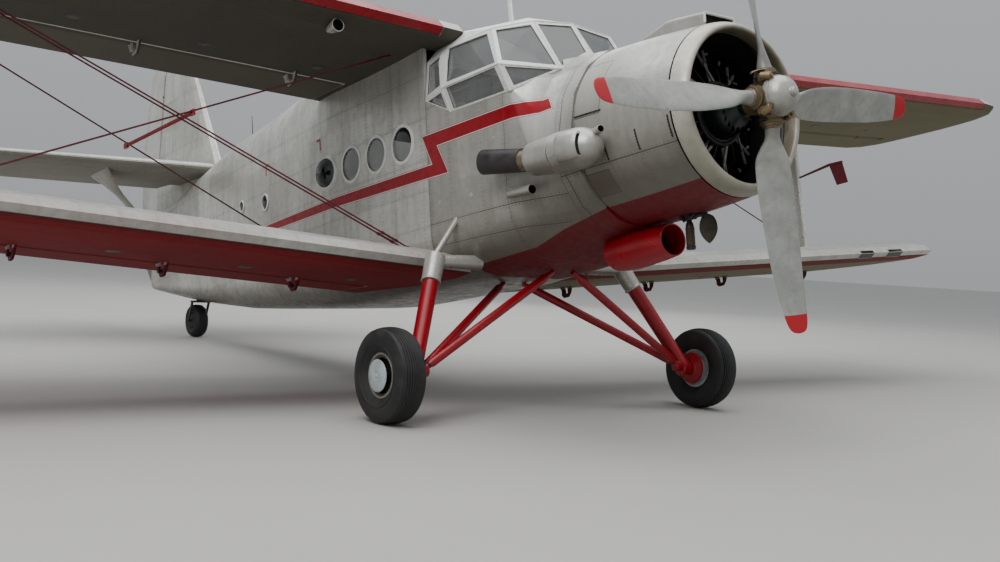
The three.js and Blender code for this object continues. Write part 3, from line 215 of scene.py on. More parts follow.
# Materials: a small writer of shader nodes
class Paint:
    def __init__(self, name, roughness=0.5, metallic=0.0):
        self.material = bpy.data.materials.new(name)
        self.material.use_nodes = True
        self.tree = self.material.node_tree
        self.shader = self.tree.nodes["Principled BSDF"]
        self.shader.inputs["Roughness"].default_value = roughness
        self.shader.inputs["Metallic"].default_value = metallic
        self.object_point = self.node("ShaderNodeTexCoord").outputs["Object"]
        level = self.node("ShaderNodeMapping", Vector=self.object_point)
        level.inputs["Rotation"].default_value = (0, LEAN, 0)
        level.inputs["Location"].default_value = -(Matrix.Rotation(LEAN, 3, "Y") @ HUB)
        self.level_point = level.outputs["Vector"]
        parts = self.node("ShaderNodeSeparateXYZ", Vector=self.level_point)
        self.s = self.math("MULTIPLY", parts.outputs["X"], -1)
        self.y = parts.outputs["Y"]
        self.z = parts.outputs["Z"]

    def node(self, kind, settings=None, **inputs):
        made = self.tree.nodes.new(kind)
        for key, value in (settings or {}).items():
            setattr(made, key, value)
        for key, value in inputs.items():
            self.put(made.inputs[key.replace("_", " ")], value)
        return made

    def put(self, socket, value):
        if isinstance(value, bpy.types.NodeSocket):
            self.tree.links.new(value, socket)
        else:
            socket.default_value = value

    def math(self, operation, a, b=0.0, c=0.0, clamp=False):
        made = self.node("ShaderNodeMath", {"operation": operation, "use_clamp": clamp})
        for socket, value in zip(made.inputs, (a, b, c)):
            self.put(socket, value)
        return made.outputs[0]

    def step(self, value, edge, soft=0.002):
        """0 below the edge, 1 above it."""
        made = self.node("ShaderNodeMapRange", {"interpolation_type": "SMOOTHSTEP"}, Value=value)
        made.inputs["From Min"].default_value = edge - soft
        made.inputs["From Max"].default_value = edge + soft
        return made.outputs[0]

    def flip(self, mask):
        return self.math("SUBTRACT", 1.0, mask)

    def below(self, value, edge, soft=0.002):
        """1 below the edge, 0 above it."""
        return self.flip(self.step(value, edge, soft))

    def band(self, value, low, high, soft=0.002):
        return self.math("SUBTRACT", self.step(value, low, soft), self.step(value, high, soft), clamp=True)

    def noise(self, scale, detail=4.0, stretch=(1, 1, 1), rough=0.55):
        point = self.node("ShaderNodeMapping", Vector=self.level_point)
        point.inputs["Scale"].default_value = stretch
        made = self.node("ShaderNodeTexNoise", Vector=point.outputs[0], Scale=scale, Detail=detail,
                         Roughness=rough)
        return made.outputs[0]

    def spread(self, value, low, high, to_low=0.0, to_high=1.0):
        made = self.node("ShaderNodeMapRange", Value=value)
        for key, number in zip(("From Min", "From Max", "To Min", "To Max"), (low, high, to_low, to_high)):
            made.inputs[key].default_value = number
        return made.outputs[0]

    def mix(self, factor, a, b):
        made = self.node("ShaderNodeMix", {"data_type": "RGBA"})
        self.put(made.inputs[0], factor)
        for socket, value in ((made.inputs[6], a), (made.inputs[7], b)):
            self.put(socket, value if isinstance(value, bpy.types.NodeSocket) else (*value, 1))
        return made.outputs[2]

    def over(self, color, mask, share, shade):
        """The colour under a shade, as far as the mask and the share go."""
        return self.mix(self.times(mask, share), color, shade)

    def union(self, *masks):
        total = masks[0]
        for mask in masks[1:]:
            total = self.math("MAXIMUM", total, mask)
        return total

    def times(self, *values):
        total = values[0]
        for value in values[1:]:
            total = self.math("MULTIPLY", total, value)
        return total

    def repeat(self, value, period):
        """Distance to the nearest of evenly spaced lines."""
        return self.math("PINGPONG", value, period / 2)

    def bump(self, height, distance, strength):
        return self.node("ShaderNodeBump", Height=height, Distance=distance, Strength=strength).outputs[0]

    def nearest(self, value, places):
        """Distance to the nearest of the places."""
        least = None
        for place in places:
            gap = self.math("ABSOLUTE", self.math("SUBTRACT", value, place))
            least = gap if least is None else self.math("MINIMUM", least, gap)
        return least

    def facing(self, direction):
        """How far the surface faces a direction, from -1 to 1."""
        made = self.node("ShaderNodeVectorMath", {"operation": "DOT_PRODUCT"})
        self.put(made.inputs[0], self.node("ShaderNodeTexCoord").outputs["Normal"])
        made.inputs[1].default_value = direction
        return made.outputs["Value"]

    def radius(self):
        """Distance from the propeller's axis."""
        flat = self.node("ShaderNodeMapping", Vector=self.level_point)
        flat.inputs["Scale"].default_value = (0, 1, 1)
        made = self.node("ShaderNodeVectorMath", {"operation": "LENGTH"})
        self.put(made.inputs[0], flat.outputs[0])
        return made.outputs["Value"]

    def blend(self, share, a, b):
        """a where share is 0, b where it is 1."""
        return self.math("MULTIPLY_ADD", self.math("SUBTRACT", b, a), share, a)

    def frame_fill(self, u, u0, u1, v, v0, v1):
        return self.times(self.band(u, u0, u1), self.band(v, v0, v1))

    def frame_lines(self, u, u0, u1, v, v0, v1, width):
        outer = self.frame_fill(u, u0 - width, u1 + width, v, v0 - width, v1 + width)
        inner = self.frame_fill(u, u0 + width, u1 - width, v, v0 + width, v1 - width)
        return self.math("SUBTRACT", outer, inner, clamp=True)

    def cells(self, scale):
        """A random value for each panel of the skin."""
        moved = self.node("ShaderNodeMapping", Vector=self.level_point)
        moved.inputs["Scale"].default_value = (scale, 0.45, scale)
        moved.inputs["Location"].default_value = (0.07, 0.5, 0.31)
        snapped = self.node("ShaderNodeVectorMath", {"operation": "FLOOR"})
        self.put(snapped.inputs[0], moved.outputs[0])
        return self.node("ShaderNodeTexWhiteNoise", Vector=snapped.outputs[0]).outputs["Value"]

    def finish(self, color=None, roughness=None, normal=None, metallic=None):
        for key, value in (("Base Color", color), ("Roughness", roughness), ("Normal", normal),
                           ("Metallic", metallic)):
            if value is not None:
                self.put(self.shader.inputs[key], value)
        return self.material

    def wear(self):
        """Large stains, small grime and vertical streaks, each from 0 to 1."""
        stains = self.spread(self.noise(1.1, 5), 0.38, 0.66)
        grime = self.spread(self.noise(14, 6), 0.42, 0.7)
        streaks = self.spread(self.noise(9, 5, (1, 1, 0.12)), 0.45, 0.72)
        return stains, grime, streaks

    def seam(self, distance, along, width=0.0025, rivet=0.0035, offset=0.018, pitch=0.03):
        """A panel joint with a row of rivets on each side: (line mask, rivet mask)."""
        line = self.below(distance, width, width * 0.6)
        across = self.math("SUBTRACT", distance, offset)
        dot = self.repeat(along, pitch)
        reach = self.math("SQRT", self.math("ADD", self.times(across, across), self.times(dot, dot)))
        return line, self.below(reach, rivet, rivet * 0.5)


SILVER = (0.46, 0.455, 0.415)
SILVER_LIGHT = (0.60, 0.595, 0.555)
SILVER_DIRTY = (0.23, 0.215, 0.175)
# Brownish painted shade for surfaces that face down
UNDERSIDE_SHADE_BROWN = (0.070, 0.058, 0.040)
RED = (0.31, 0.0025, 0.010)
RED_DARK = (0.10, 0.0015, 0.004)
MAROON = (0.105, 0.004, 0.012)
WHITE = (0.72, 0.71, 0.68)
SEAM = (0.045, 0.045, 0.04)

# The cowl's mean radius, which turns its angles into arcs, and the joint behind the cowl
COWL_ARC = 0.75
NOSE_JOINT = 1.60
# Rivets of the skin: radius and pitch on the cowl and on the flanks
COWL_RIVET = (0.0050, 0.036)
FLANK_RIVET = (0.0050, 0.040)
RIVET_SHADE = (0.12, 0.11, 0.09)

# The side stripe's corners in station and height, three bands that overlap, upper edge first
STRIPE_BANDS = (
    ((1.770, 0.369), (3.465, 0.378), (3.388, 0.2265), (1.643, 0.229)),
    ((3.277, 0.377), (3.465, 0.378), (3.244, -0.056), (3.033, -0.057)),
    ((3.113, 0.085), (7.300, 0.102), (7.300, 0.000), (3.033, -0.057)),
)
STRIPE_EDGE = {"outer": 0.0045, "pale": 0.0115, "soft": 0.0012}
# The red belly starts this steeply below the horizontal
BELLY_SLOPE = 0.70
BELLY_REAR = 2.95


def stripe_masks(paint):
    """The side stripe: (red, pale edge line, outer red line)."""
    nearest = None
    for corners in STRIPE_BANDS:
        farthest = None
        for (s0, z0), (s1, z1) in zip(corners, corners[1:] + corners[:1]):
            length = math.hypot(s1 - s0, z1 - z0)
            ns, nz = -(z1 - z0) / length, (s1 - s0) / length
            side = paint.math("MULTIPLY_ADD", paint.s, ns, -(s0 * ns + z0 * nz))
            side = paint.math("MULTIPLY_ADD", paint.z, nz, side)
            farthest = side if farthest is None else paint.math("MAXIMUM", farthest, side)
        nearest = farthest if nearest is None else paint.math("MINIMUM", nearest, farthest)
    flank = paint.step(paint.math("ABSOLUTE", paint.y), 0.55)
    outer, pale, soft = STRIPE_EDGE["outer"], STRIPE_EDGE["pale"], STRIPE_EDGE["soft"]
    masks = (paint.below(nearest, -pale, soft),
             paint.band(nearest, -pale, -outer, soft), paint.band(nearest, -outer, 0.0, soft))
    return [paint.times(mask, flank) for mask in masks]


def belly_mask(paint):
    slope = paint.math("MULTIPLY", paint.z, -BELLY_SLOPE)
    under = paint.step(paint.math("SUBTRACT", slope, paint.math("ABSOLUTE", paint.y)), 0.0)
    return paint.times(under, paint.below(paint.s, BELLY_REAR, 0.01))


def cowl_marks(paint):
    """Joints of the round cowl: (lines, rivets, darker panels)."""
    angle = paint.math("ARCTAN2", paint.z, paint.math("ABSOLUTE", paint.y))
    arc = paint.times(angle, COWL_ARC)
    size, pitch = COWL_RIVET
    parting = paint.nearest(arc, (-0.340, 0.98))
    line, rivet = paint.seam(parting, paint.s, 0.0048, size, 0.020, pitch)
    joints = paint.nearest(paint.s, (1.388, 1.545))
    rings, ring_rivet = paint.seam(joints, arc, 0.0045, size, 0.020, pitch)
    rows = paint.nearest(paint.s, (0.405, 0.745, 1.075))
    low_rivet = paint.times(paint.seam(rows, arc, 0.0, 0.0048, 0.010, pitch)[1], paint.below(arc, -0.345))
    hatch = paint.frame_lines(paint.s, 1.085, 1.384, arc, 0.060, 0.560, 0.0034)
    patch = paint.frame_lines(paint.s, 1.115, 1.384, arc, -0.610, -0.395, 0.0034)
    shade = paint.frame_fill(paint.s, 1.115, 1.384, arc, -0.610, -0.395)
    return paint.union(line, rings, hatch, patch), paint.union(rivet, ring_rivet, low_rivet), shade


def flank_marks(stations, levels, girth=0.28, rows=()):
    """Joints at stations, at heights on the flanks, and lengthwise above and below."""
    size, pitch = FLANK_RIVET

    def marks(paint):
        side = paint.step(paint.math("ABSOLUTE", paint.facing(PORT)), 0.55, 0.08)
        lengthwise = paint.blend(side, paint.repeat(paint.y, girth), paint.nearest(paint.z, levels))
        across = paint.blend(side, paint.y, paint.z)
        line, rivet = paint.seam(lengthwise, paint.s, 0.0030, size, 0.018, pitch)
        ring, ring_rivet = paint.seam(paint.nearest(paint.s, stations), across, 0.0030, size, 0.020, pitch)
        if rows:
            extra = paint.seam(paint.nearest(paint.s, rows), across, 0.0, 0.0048, 0.012, pitch)[1]
            ring_rivet = paint.union(ring_rivet, extra)
        return paint.union(line, ring), paint.union(rivet, ring_rivet), None
    return marks


def nose_marks(paint):
    """The round front of the nose carries on the cowl's joints; the flanks have their own."""
    line, rivet, shade = cowl_marks(paint)
    ahead = paint.below(paint.s, NOSE_JOINT)
    back = paint.step(paint.s, NOSE_JOINT)
    edge, edge_rivet = paint.seam(paint.nearest(paint.s, (1.603,)), paint.z, 0.0018, 0.0032, 0.014, 0.024)
    own, own_rivet, _ = flank_marks((2.20, 3.36), (0.62, -0.49, -0.70), 0.28, (2.55, 3.02))(paint)
    return (paint.union(paint.times(line, ahead), paint.times(own, back), edge),
            paint.union(paint.times(rivet, ahead), paint.times(own_rivet, back), edge_rivet),
            paint.times(shade, ahead))


def skin_paint(name, marks, stripe=False, belly=False, tone=1.0, joints=0.92, turn=0.30):
    """Weathered aluminium paint with panel joints and rivets, and brownish painted shade on surfaces that
    face down.
    """
    paint = Paint(name, 0.42, 0.3)
    stains, grime, streaks = paint.wear()
    light, base = [tuple(c * tone for c in color) for color in (SILVER_LIGHT, SILVER)]
    color = paint.mix(stains, base, light)
    panels = paint.spread(paint.cells(2.1), 0.0, 1.0, -0.5, 0.5)
    color = paint.mix(paint.math("MULTIPLY_ADD", panels, 0.32, 0.14, True), color, SILVER_DIRTY)
    color = paint.over(color, streaks, 0.30, SILVER_DIRTY)
    color = paint.over(color, grime, 0.20, SILVER_DIRTY)
    line, rivet, shade = marks(paint)
    if shade:
        color = paint.over(color, shade, 0.55, (0.16, 0.13, 0.10))
    halo = paint.times(paint.spread(paint.noise(22, 3), 0.45, 0.6), rivet)
    color = paint.over(color, halo, 0.6, RIVET_SHADE)
    color = paint.over(color, rivet, 0.52, RIVET_SHADE)
    color = paint.mix(paint.times(line, joints), color, SEAM)
    # Painted shade: surfaces that face down are darkened towards brown
    under = paint.spread(paint.facing(UPWARD), turn, -0.65)
    color = paint.over(color, under, 0.84, UNDERSIDE_SHADE_BROWN)
    metallic = paint.spread(under, 0, 1, 0.42, 0.05)
    if stripe:
        red, pale, outer = stripe_masks(paint)
        worn = paint.over(RED, grime, 0.25, RED_DARK)
        color = paint.mix(paint.union(red, outer), color, worn)
        color = paint.mix(pale, color, WHITE)
    if belly:
        mask = belly_mask(paint)
        deep = paint.over(RED, stains, 0.35, RED_DARK)
        # Painted shade: the red belly is darker where it faces down
        deep = paint.over(deep, under, 0.75, (0.055, 0.001, 0.002))
        color = paint.mix(mask, color, paint.over(deep, line, 0.6, SEAM))
        metallic = paint.times(metallic, paint.flip(mask))
    lift = paint.math("SUBTRACT", paint.times(rivet, 0.7), line)
    lift = paint.math("ADD", lift, paint.times(stains, 0.5))
    rough = paint.spread(grime, 0, 1, 0.28, 0.50)
    if belly:
        rough = paint.math("MULTIPLY_ADD", mask, 0.22, rough)
    return paint.finish(color, rough, paint.bump(lift, 0.0016, 0.8), metallic)


def plain_paint(name, base, dark, roughness, metallic, scale, grime, under=0.0):
    """Paint or metal with stains, fine unevenness and, on surfaces that face down, a share of brownish
    painted shade.
    """
    paint = Paint(name, roughness, metallic)
    stains = paint.spread(paint.noise(scale, 5), 0.4, 0.68)
    fine = paint.spread(paint.noise(scale * 9, 4), 0.4, 0.7)
    color = paint.mix(paint.times(stains, grime), base, dark)
    color = paint.mix(paint.times(fine, grime * 0.5), color, dark)
    # Painted shade: surfaces that face down are darkened towards brown
    if under:
        low = paint.spread(paint.facing(UPWARD), 0.0, -0.8)
        color = paint.mix(paint.times(low, under), color, UNDERSIDE_SHADE_BROWN)
    rough = paint.spread(stains, 0, 1, roughness * 0.85, min(roughness * 1.25, 1))
    return paint.finish(color, rough, paint.bump(fine, 0.0006, 0.5))


def ring_paint():
    """The cowl's front ring: sand-coloured paint, scorched and oily towards its inner lip."""
    paint = Paint("cowl_lip", 0.4, 0.15)
    stains, grime = paint.wear()[:2]
    radius = paint.radius()
    color = paint.mix(stains, (0.50, 0.475, 0.40), (0.62, 0.60, 0.53))
    color = paint.over(color, grime, 0.25, SILVER_DIRTY)
    lip = paint.flip(paint.spread(radius, 0.606, 0.652))
    scorch = paint.times(lip, paint.spread(paint.noise(5, 4), 0.3, 0.62, 0.25, 1.0))
    color = paint.over(color, scorch, 0.75, (0.16, 0.105, 0.05))
    dot = paint.repeat(paint.times(paint.math("ARCTAN2", paint.z, paint.y), 0.69), 0.06)
    across = paint.nearest(paint.s, (0.347,))
    rivet = paint.below(paint.math("SQRT", paint.math(
        "ADD", paint.times(dot, dot), paint.times(across, across))), 0.0042, 0.002)
    color = paint.over(color, rivet, 0.6, (0.14, 0.12, 0.09))
    # Painted shade: the ring is darker where it faces down
    low = paint.spread(paint.facing(UPWARD), 0.0, -0.9)
    color = paint.over(color, low, 0.78, (0.12, 0.11, 0.065))
    return paint.finish(color, paint.spread(grime, 0, 1, 0.3, 0.5), paint.bump(rivet, 0.001, 0.7), 0.2)


def wing_paint(name, upper_side, under_side, rib=0.3, nose=None, nose_highlight_rear=0.0, edge=None):
    """Doped skin over ribs: one colour above and one below, a band along the nose or an edge under it.

    edge names how far under the leading edge the red strip starts, and the station where it ends.
    """
    paint = Paint(name, 0.5, 0.25)
    stains, grime = paint.wear()[:2]
    above = paint.step(paint.facing(UPWARD), 0.0, 0.03)
    span = paint.math("ABSOLUTE", paint.y)
    ribs = paint.repeat(span, rib)
    tape = paint.below(ribs, 0.018, 0.003)
    stitch = paint.seam(ribs, paint.s, 0.0, 0.0035, 0.006, 0.06)[1]
    if edge:
        wing = WING_TABLE["lower"]
        rise = math.tan(wing["dihedral"])
        height = paint.math("SUBTRACT", paint.z, paint.math("MULTIPLY_ADD", span, rise, wing["z"]))
        ahead = paint.below(paint.s, 3.20, 0.01)
        above = paint.blend(ahead, above, paint.step(height, edge[0], 0.002))
    # The colour below is darkened as painted shade on the upper wings and flaps
    color = paint.mix(above, under_side, upper_side)
    if edge:
        low = paint.below(height, edge[0], 0.002)
        strip = paint.times(low, paint.below(paint.s, edge[1], 0.004))
        color = paint.mix(strip, color, (0.20, 0.003, 0.007))
        line = paint.times(paint.band(height, edge[0] - 0.004, edge[0] + 0.003), ahead)
        color = paint.over(color, line, 0.8, (0.02, 0.018, 0.018))
        hooks = paint.times(paint.below(height, -0.088), paint.step(paint.s, 4.2))
        color = paint.mix(hooks, color, MAROON)
    # Painted highlight: the pale band brightens the flap's silver nose into a reflection of the sky
    if nose:
        band = paint.below(paint.s, nose_highlight_rear, 0.002)
        color = paint.mix(band, color, nose)
    color = paint.over(color, stains, 0.30, tuple(c * 0.55 for c in under_side))
    color = paint.over(color, grime, 0.2, (0.10, 0.09, 0.065))
    color = paint.mix(paint.times(paint.times(tape, above), 0.16), color, (0.30, 0.28, 0.22))
    color = paint.over(color, stitch, 0.35, (0.05, 0.045, 0.04))
    sag = paint.times(paint.math("SMOOTH_MIN", ribs, 0.05, 0.05), -0.35)
    lift = paint.math("ADD", sag, paint.times(tape, 0.012))
    lift = paint.math("ADD", lift, paint.times(stitch, 0.02))
    paint.shader.inputs["Specular IOR Level"].default_value = 0.3
    rough = paint.blend(above, 0.75, paint.spread(stains, 0, 1, 0.34, 0.56))
    return paint.finish(color, rough, paint.bump(lift, 0.05, 0.35))


def rubber_paint():
    paint = Paint("tyre_rubber", 0.82)
    dust = paint.spread(paint.noise(7, 6), 0.45, 0.75)
    color = paint.mix(paint.times(dust, 0.45), (0.010, 0.010, 0.011), (0.06, 0.055, 0.045))
    rough = paint.spread(dust, 0, 1, 0.62, 0.9)
    return paint.finish(color, rough, paint.bump(paint.noise(90, 3), 0.0006, 0.4))


def blade_paint():
    """Grey blade paint with a red tip and small nicks."""
    paint = Paint("blade_paint", 0.36, 0.1)
    radius = paint.radius()
    stains = paint.spread(paint.noise(5, 6), 0.4, 0.7)
    color = paint.mix(stains, (0.27, 0.275, 0.25), (0.36, 0.365, 0.335))
    scuffs = paint.spread(paint.noise(3, 6, (1, 6, 6)), 0.5, 0.72)
    color = paint.over(color, scuffs, 0.4, (0.17, 0.17, 0.145))
    nicks = paint.step(paint.noise(60, 3), 0.66, 0.02)
    color = paint.over(color, nicks, 0.4, (0.16, 0.16, 0.14))
    root = paint.flip(paint.spread(radius, 0.27, 0.40))
    color = paint.over(color, root, 0.4, (0.11, 0.10, 0.08))
    color = paint.mix(paint.step(radius, BLADE_TIP_RED), color, (0.42, 0.006, 0.014))
    return paint.finish(color, paint.spread(stains, 0, 1, 0.3, 0.46), paint.bump(nicks, 0.0004, 0.5))


def glass_paint(name, tint, roughness=0.04, alpha=0.42):
    """Thin aged glazing: part clear, part grey haze."""
    paint = Paint(name, roughness)
    haze = paint.spread(paint.noise(3, 4), 0.3, 0.75)
    color = paint.mix(haze, tint, tuple(min(c * 1.3, 1) for c in tint))
    paint.shader.inputs["Alpha"].default_value = alpha
    paint.shader.inputs["IOR"].default_value = 1.5
    paint.shader.inputs["Specular IOR Level"].default_value = 0.9
    return paint.finish(color, paint.spread(haze, 0, 1, roughness, roughness + 0.05))


def pane_paint(name, split):
    """A cabin pane that shows grey, and black above a height where the far side is dark: painted shade of
    the cabin behind it.
    """
    paint = Paint(name, 0.06)
    haze = paint.spread(paint.noise(4, 4), 0.3, 0.75)
    color = paint.mix(haze, (0.17, 0.18, 0.17), (0.24, 0.25, 0.235))
    tilted = paint.math("MULTIPLY_ADD", paint.s, -0.30, paint.z)
    # Painted shade: black above the tilted height, for the dark cabin behind the pane
    color = paint.mix(paint.step(tilted, split, 0.004), color, (0.006, 0.006, 0.007))
    paint.shader.inputs["Specular IOR Level"].default_value = 0.6
    return paint.finish(color, paint.spread(haze, 0, 1, 0.05, 0.12))


BLADE_TIP_RED = 1.655
WING_TABLE = {
    "upper": {"station": 3.036, "z": 1.287, "dihedral": 0.0501, "incidence": 0.05, "chord": 2.4,
              "camber": 0.03, "thickness": 0.135},
    "lower": {"station": 3.030, "z": -0.948, "dihedral": 0.0753, "incidence": 0.0175, "chord": 2.0,
              "camber": 0.03, "thickness": 0.13},
}
CABIN_STATIONS = (3.465, 3.955, 4.445, 4.935)
REAR_STATIONS = (5.425, 5.915, 6.405, 6.86)
CABIN_LEVELS = (0.96, 0.54, 0.14, -0.155, -0.50)
TAIL_STATIONS = (7.45, 8.0, 8.55, 9.1, 9.65, 10.2, 10.75, 11.3)
cabin_marks = flank_marks(CABIN_STATIONS + REAR_STATIONS, CABIN_LEVELS, 0.28, (4.20, 4.69, 5.18))
# Plain paints, columns: key, name, colour, dirt, roughness, metallic, scale and share of the stains, and
# for one the share of brownish painted shade on surfaces that face down
PLAIN = (
    ("strut_edge", "strut_edge_paint", (0.70, 0.70, 0.67), (0.30, 0.30, 0.27), 0.3, 0.2, 6.0, 0.3),
    ("silver", "silver_paint", (0.50, 0.495, 0.455), SILVER_DIRTY, 0.32, 0.45, 4.0, 0.35, 0.6),
    ("frame", "window_frame_paint", (0.74, 0.74, 0.705), (0.34, 0.34, 0.31), 0.38, 0.1, 9.0, 0.3),
    ("bare", "bare_steel", (0.66, 0.66, 0.64), (0.16, 0.14, 0.11), 0.26, 0.85, 12.0, 0.4),
    ("red", "red_paint", RED, RED_DARK, 0.30, 0.0, 5.0, 0.3),
    ("maroon", "maroon_paint", MAROON, (0.05, 0.004, 0.008), 0.45, 0.0, 5.0, 0.4),
    ("black", "engine_black", (0.005, 0.006, 0.006), (0.022, 0.020, 0.017), 0.42, 0.2, 14.0, 0.5),
    ("case", "crankcase_green", (0.005, 0.011, 0.010), (0.004, 0.005, 0.005), 0.32, 0.2, 9.0, 0.5),
    ("bronze", "hub_bronze", (0.26, 0.19, 0.10), (0.06, 0.045, 0.028), 0.36, 0.55, 16.0, 0.55),
    ("cuff", "cuff_bronze", (0.19, 0.145, 0.085), (0.05, 0.038, 0.026), 0.40, 0.5, 14.0, 0.6),
    ("soot", "burnt_pipe", (0.028, 0.028, 0.031), (0.085, 0.075, 0.07), 0.5, 0.5, 10.0, 0.5),
    ("brown", "heated_steel", (0.17, 0.125, 0.085), (0.36, 0.32, 0.26), 0.38, 0.8, 10.0, 0.6),
    # Near-black and matte: painted shade for hollows, gaps, slots and pipe mouths
    ("dark", "cavity_painted_shade", (0.002, 0.002, 0.002), (0.006, 0.005, 0.005), 0.9, 0.0, 8.0, 0.4),
    ("hub_blue", "hub_cap_paint", (0.46, 0.54, 0.55), (0.16, 0.15, 0.13), 0.42, 0.1, 9.0, 0.4),
    ("rim_grey", "rim_grey_paint", (0.21, 0.21, 0.175), (0.10, 0.09, 0.07), 0.5, 0.1, 9.0, 0.4),
    ("steel", "black_steel", (0.02, 0.02, 0.021), (0.07, 0.06, 0.05), 0.5, 0.3, 12.0, 0.4),
    ("interior", "cabin_lining", (0.16, 0.17, 0.155), (0.07, 0.07, 0.06), 0.75, 0.0, 7.0, 0.4),
    ("seat", "seat_leather", (0.045, 0.032, 0.022), (0.015, 0.011, 0.008), 0.6, 0.0, 30.0, 0.5),
    ("panel", "instrument_panel", (0.02, 0.022, 0.022), (0.05, 0.05, 0.045), 0.55, 0.0, 12.0, 0.4),
    ("dial", "dial_face", (0.01, 0.01, 0.01), (0.10, 0.10, 0.09), 0.2, 0.0, 60.0, 0.6),
    ("bottle", "brown_canister", (0.085, 0.055, 0.028), (0.015, 0.011, 0.008), 0.3, 0.4, 12.0, 0.7),
    ("rod", "pushrod_paint", (0.46, 0.46, 0.44), (0.16, 0.15, 0.13), 0.32, 0.25, 12.0, 0.4),
    ("light", "lamp_glass", (0.5, 0.52, 0.52), (0.2, 0.2, 0.2), 0.08, 0.6, 12.0, 0.3),
    ("rivet", "rivet_heads", (0.16, 0.15, 0.13), (0.08, 0.07, 0.06), 0.45, 0.3, 30.0, 0.4),
    ("black_glass", "dark_glass", (0.004, 0.004, 0.005), (0.016, 0.016, 0.018), 0.06, 0.0, 5.0, 0.5),
    ("leaf", "brown_plate", (0.060, 0.047, 0.032), (0.028, 0.022, 0.016), 0.4, 0.3, 14.0, 0.5),
    ("lamp_port", "port_lamp", (0.35, 0.01, 0.01), (0.10, 0.004, 0.004), 0.1, 0.0, 20.0, 0.3),
    ("lamp_starboard", "starboard_lamp", (0.01, 0.16, 0.05), (0.004, 0.05, 0.02), 0.1, 0.0, 20.0, 0.3),
)
M = {key: plain_paint(*row) for key, *row in PLAIN}
M.update({
    "nose": skin_paint("nose_skin", nose_marks, stripe=True, belly=True),
    "cabin": skin_paint("cabin_skin", cabin_marks, stripe=True, tone=1.14, joints=0.5, turn=0.0),
    "tail": skin_paint("tail_skin", flank_marks(TAIL_STATIONS, (0.96, 0.50, 0.0, -0.42), 0.24),
                       stripe=True, tone=1.14, joints=0.45, turn=0.0),
    "cowl": skin_paint("cowl_skin", cowl_marks, belly=True, tone=1.02),
    "ring": ring_paint(),
    # Painted shade: the dark grey-brown below the starboard upper wing and its flap stands in for the shade
    # underneath
    "wing_starboard": wing_paint("upper_wing_starboard_skin", SILVER_LIGHT, (0.075, 0.069, 0.055)),
    # Khaki paint below the port upper wing and its flap, darkened as painted shade
    "wing_port": wing_paint("upper_wing_port_skin", SILVER_LIGHT, (0.155, 0.140, 0.075)),
    "flap": wing_paint("upper_flap_skin", SILVER_LIGHT, (0.115, 0.10, 0.08),
                       # The pale nose band is a painted reflection of the sky on the flap's silver nose
                       nose=(0.92, 0.92, 0.90), nose_highlight_rear=4.775),
    "tail_surface": wing_paint("tail_surface_skin", (0.60, 0.60, 0.56), (0.26, 0.25, 0.215), rib=0.26),
    "fin": skin_paint("fin_skin", flank_marks((9.9, 10.3, 10.75, 11.2), (1.5, 1.9, 2.3, 2.7)),
                      tone=1.12, joints=0.4, turn=0.0),
    "low_red": wing_paint("lower_wing_red", SILVER_LIGHT, (0.25, 0.004, 0.010), edge=(-0.058, 3.20)),
    "low_khaki": wing_paint("lower_wing_khaki", SILVER_LIGHT, (0.20, 0.175, 0.10), edge=(-0.050, 3.34)),
    "flap_port": wing_paint("upper_flap_port_skin", SILVER_LIGHT, (0.155, 0.140, 0.075)),
    "tyre": rubber_paint(),
    "blade": blade_paint(),
    "glass": glass_paint("windscreen_glass", (0.22, 0.23, 0.23), alpha=0.30),
    "pane": pane_paint("cabin_pane", 9.0),
    "pane_front": pane_paint("cabin_pane_front", -0.74),
})


def dress(node, key, smooth=32):
    """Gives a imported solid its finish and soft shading."""
    mesh = NODES[node].data
    mesh.materials.clear()
    mesh.materials.append(M[key])
    mesh.polygons.foreach_set("use_smooth", [True] * len(mesh.polygons))
    mesh.set_sharp_from_angle(angle=math.radians(smooth))


def soften(node, limit=62):
    """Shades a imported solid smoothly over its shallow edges, from the faces that meet at each corner."""
    mesh = NODES[node].data
    corners = [tuple(round(c, 4) for c in vertex.co) for vertex in mesh.vertices]
    touching = {}
    for face in mesh.polygons:
        for index in face.vertices:
            touching.setdefault(corners[index], []).append(face)
    shallow = math.cos(math.radians(limit))
    normals = []
    for face in mesh.polygons:
        for index in face.vertices:
            total = Vector()
            for other in touching[corners[index]]:
                if other.normal.dot(face.normal) > shallow:
                    total += other.normal * math.sqrt(other.area)
            normals.append(total.normalized())
    mesh.normals_split_custom_set(normals)


FINISHES = {
    "fuselage_nose": "nose", "fuselage_cabin": "cabin", "fuselage_tail": "tail",
    "cockpit_interior": "interior", "canopy_frame": "frame", "canopy_glazing": "glass",
    "cargo_door": "cabin", "passenger_door": "cabin",
    "cowl_ring": "ring", "cowl_panels": "cowl", "engine": "black", "intake_scoop": "silver",
    "oil_cooler_duct": "red", "exhaust_pipe": "soot", "propeller_hub": "bronze", "tail_strut": "steel",
    "tail_fork": "steel", "tail_wheel": "tyre", "fin": "fin", "rudder": "tail_surface",
}
PAIR_FINISHES = {
    "slat": "red", "flying_wires": "maroon", "landing_wires": "maroon", "stabiliser": "tail_surface",
    "elevator": "tail_surface", "stabiliser_strut": "silver", "gear_leg": "red", "gear_braces": "red",
    "main_tyre": "tyre", "main_rim": "hub_blue",
}
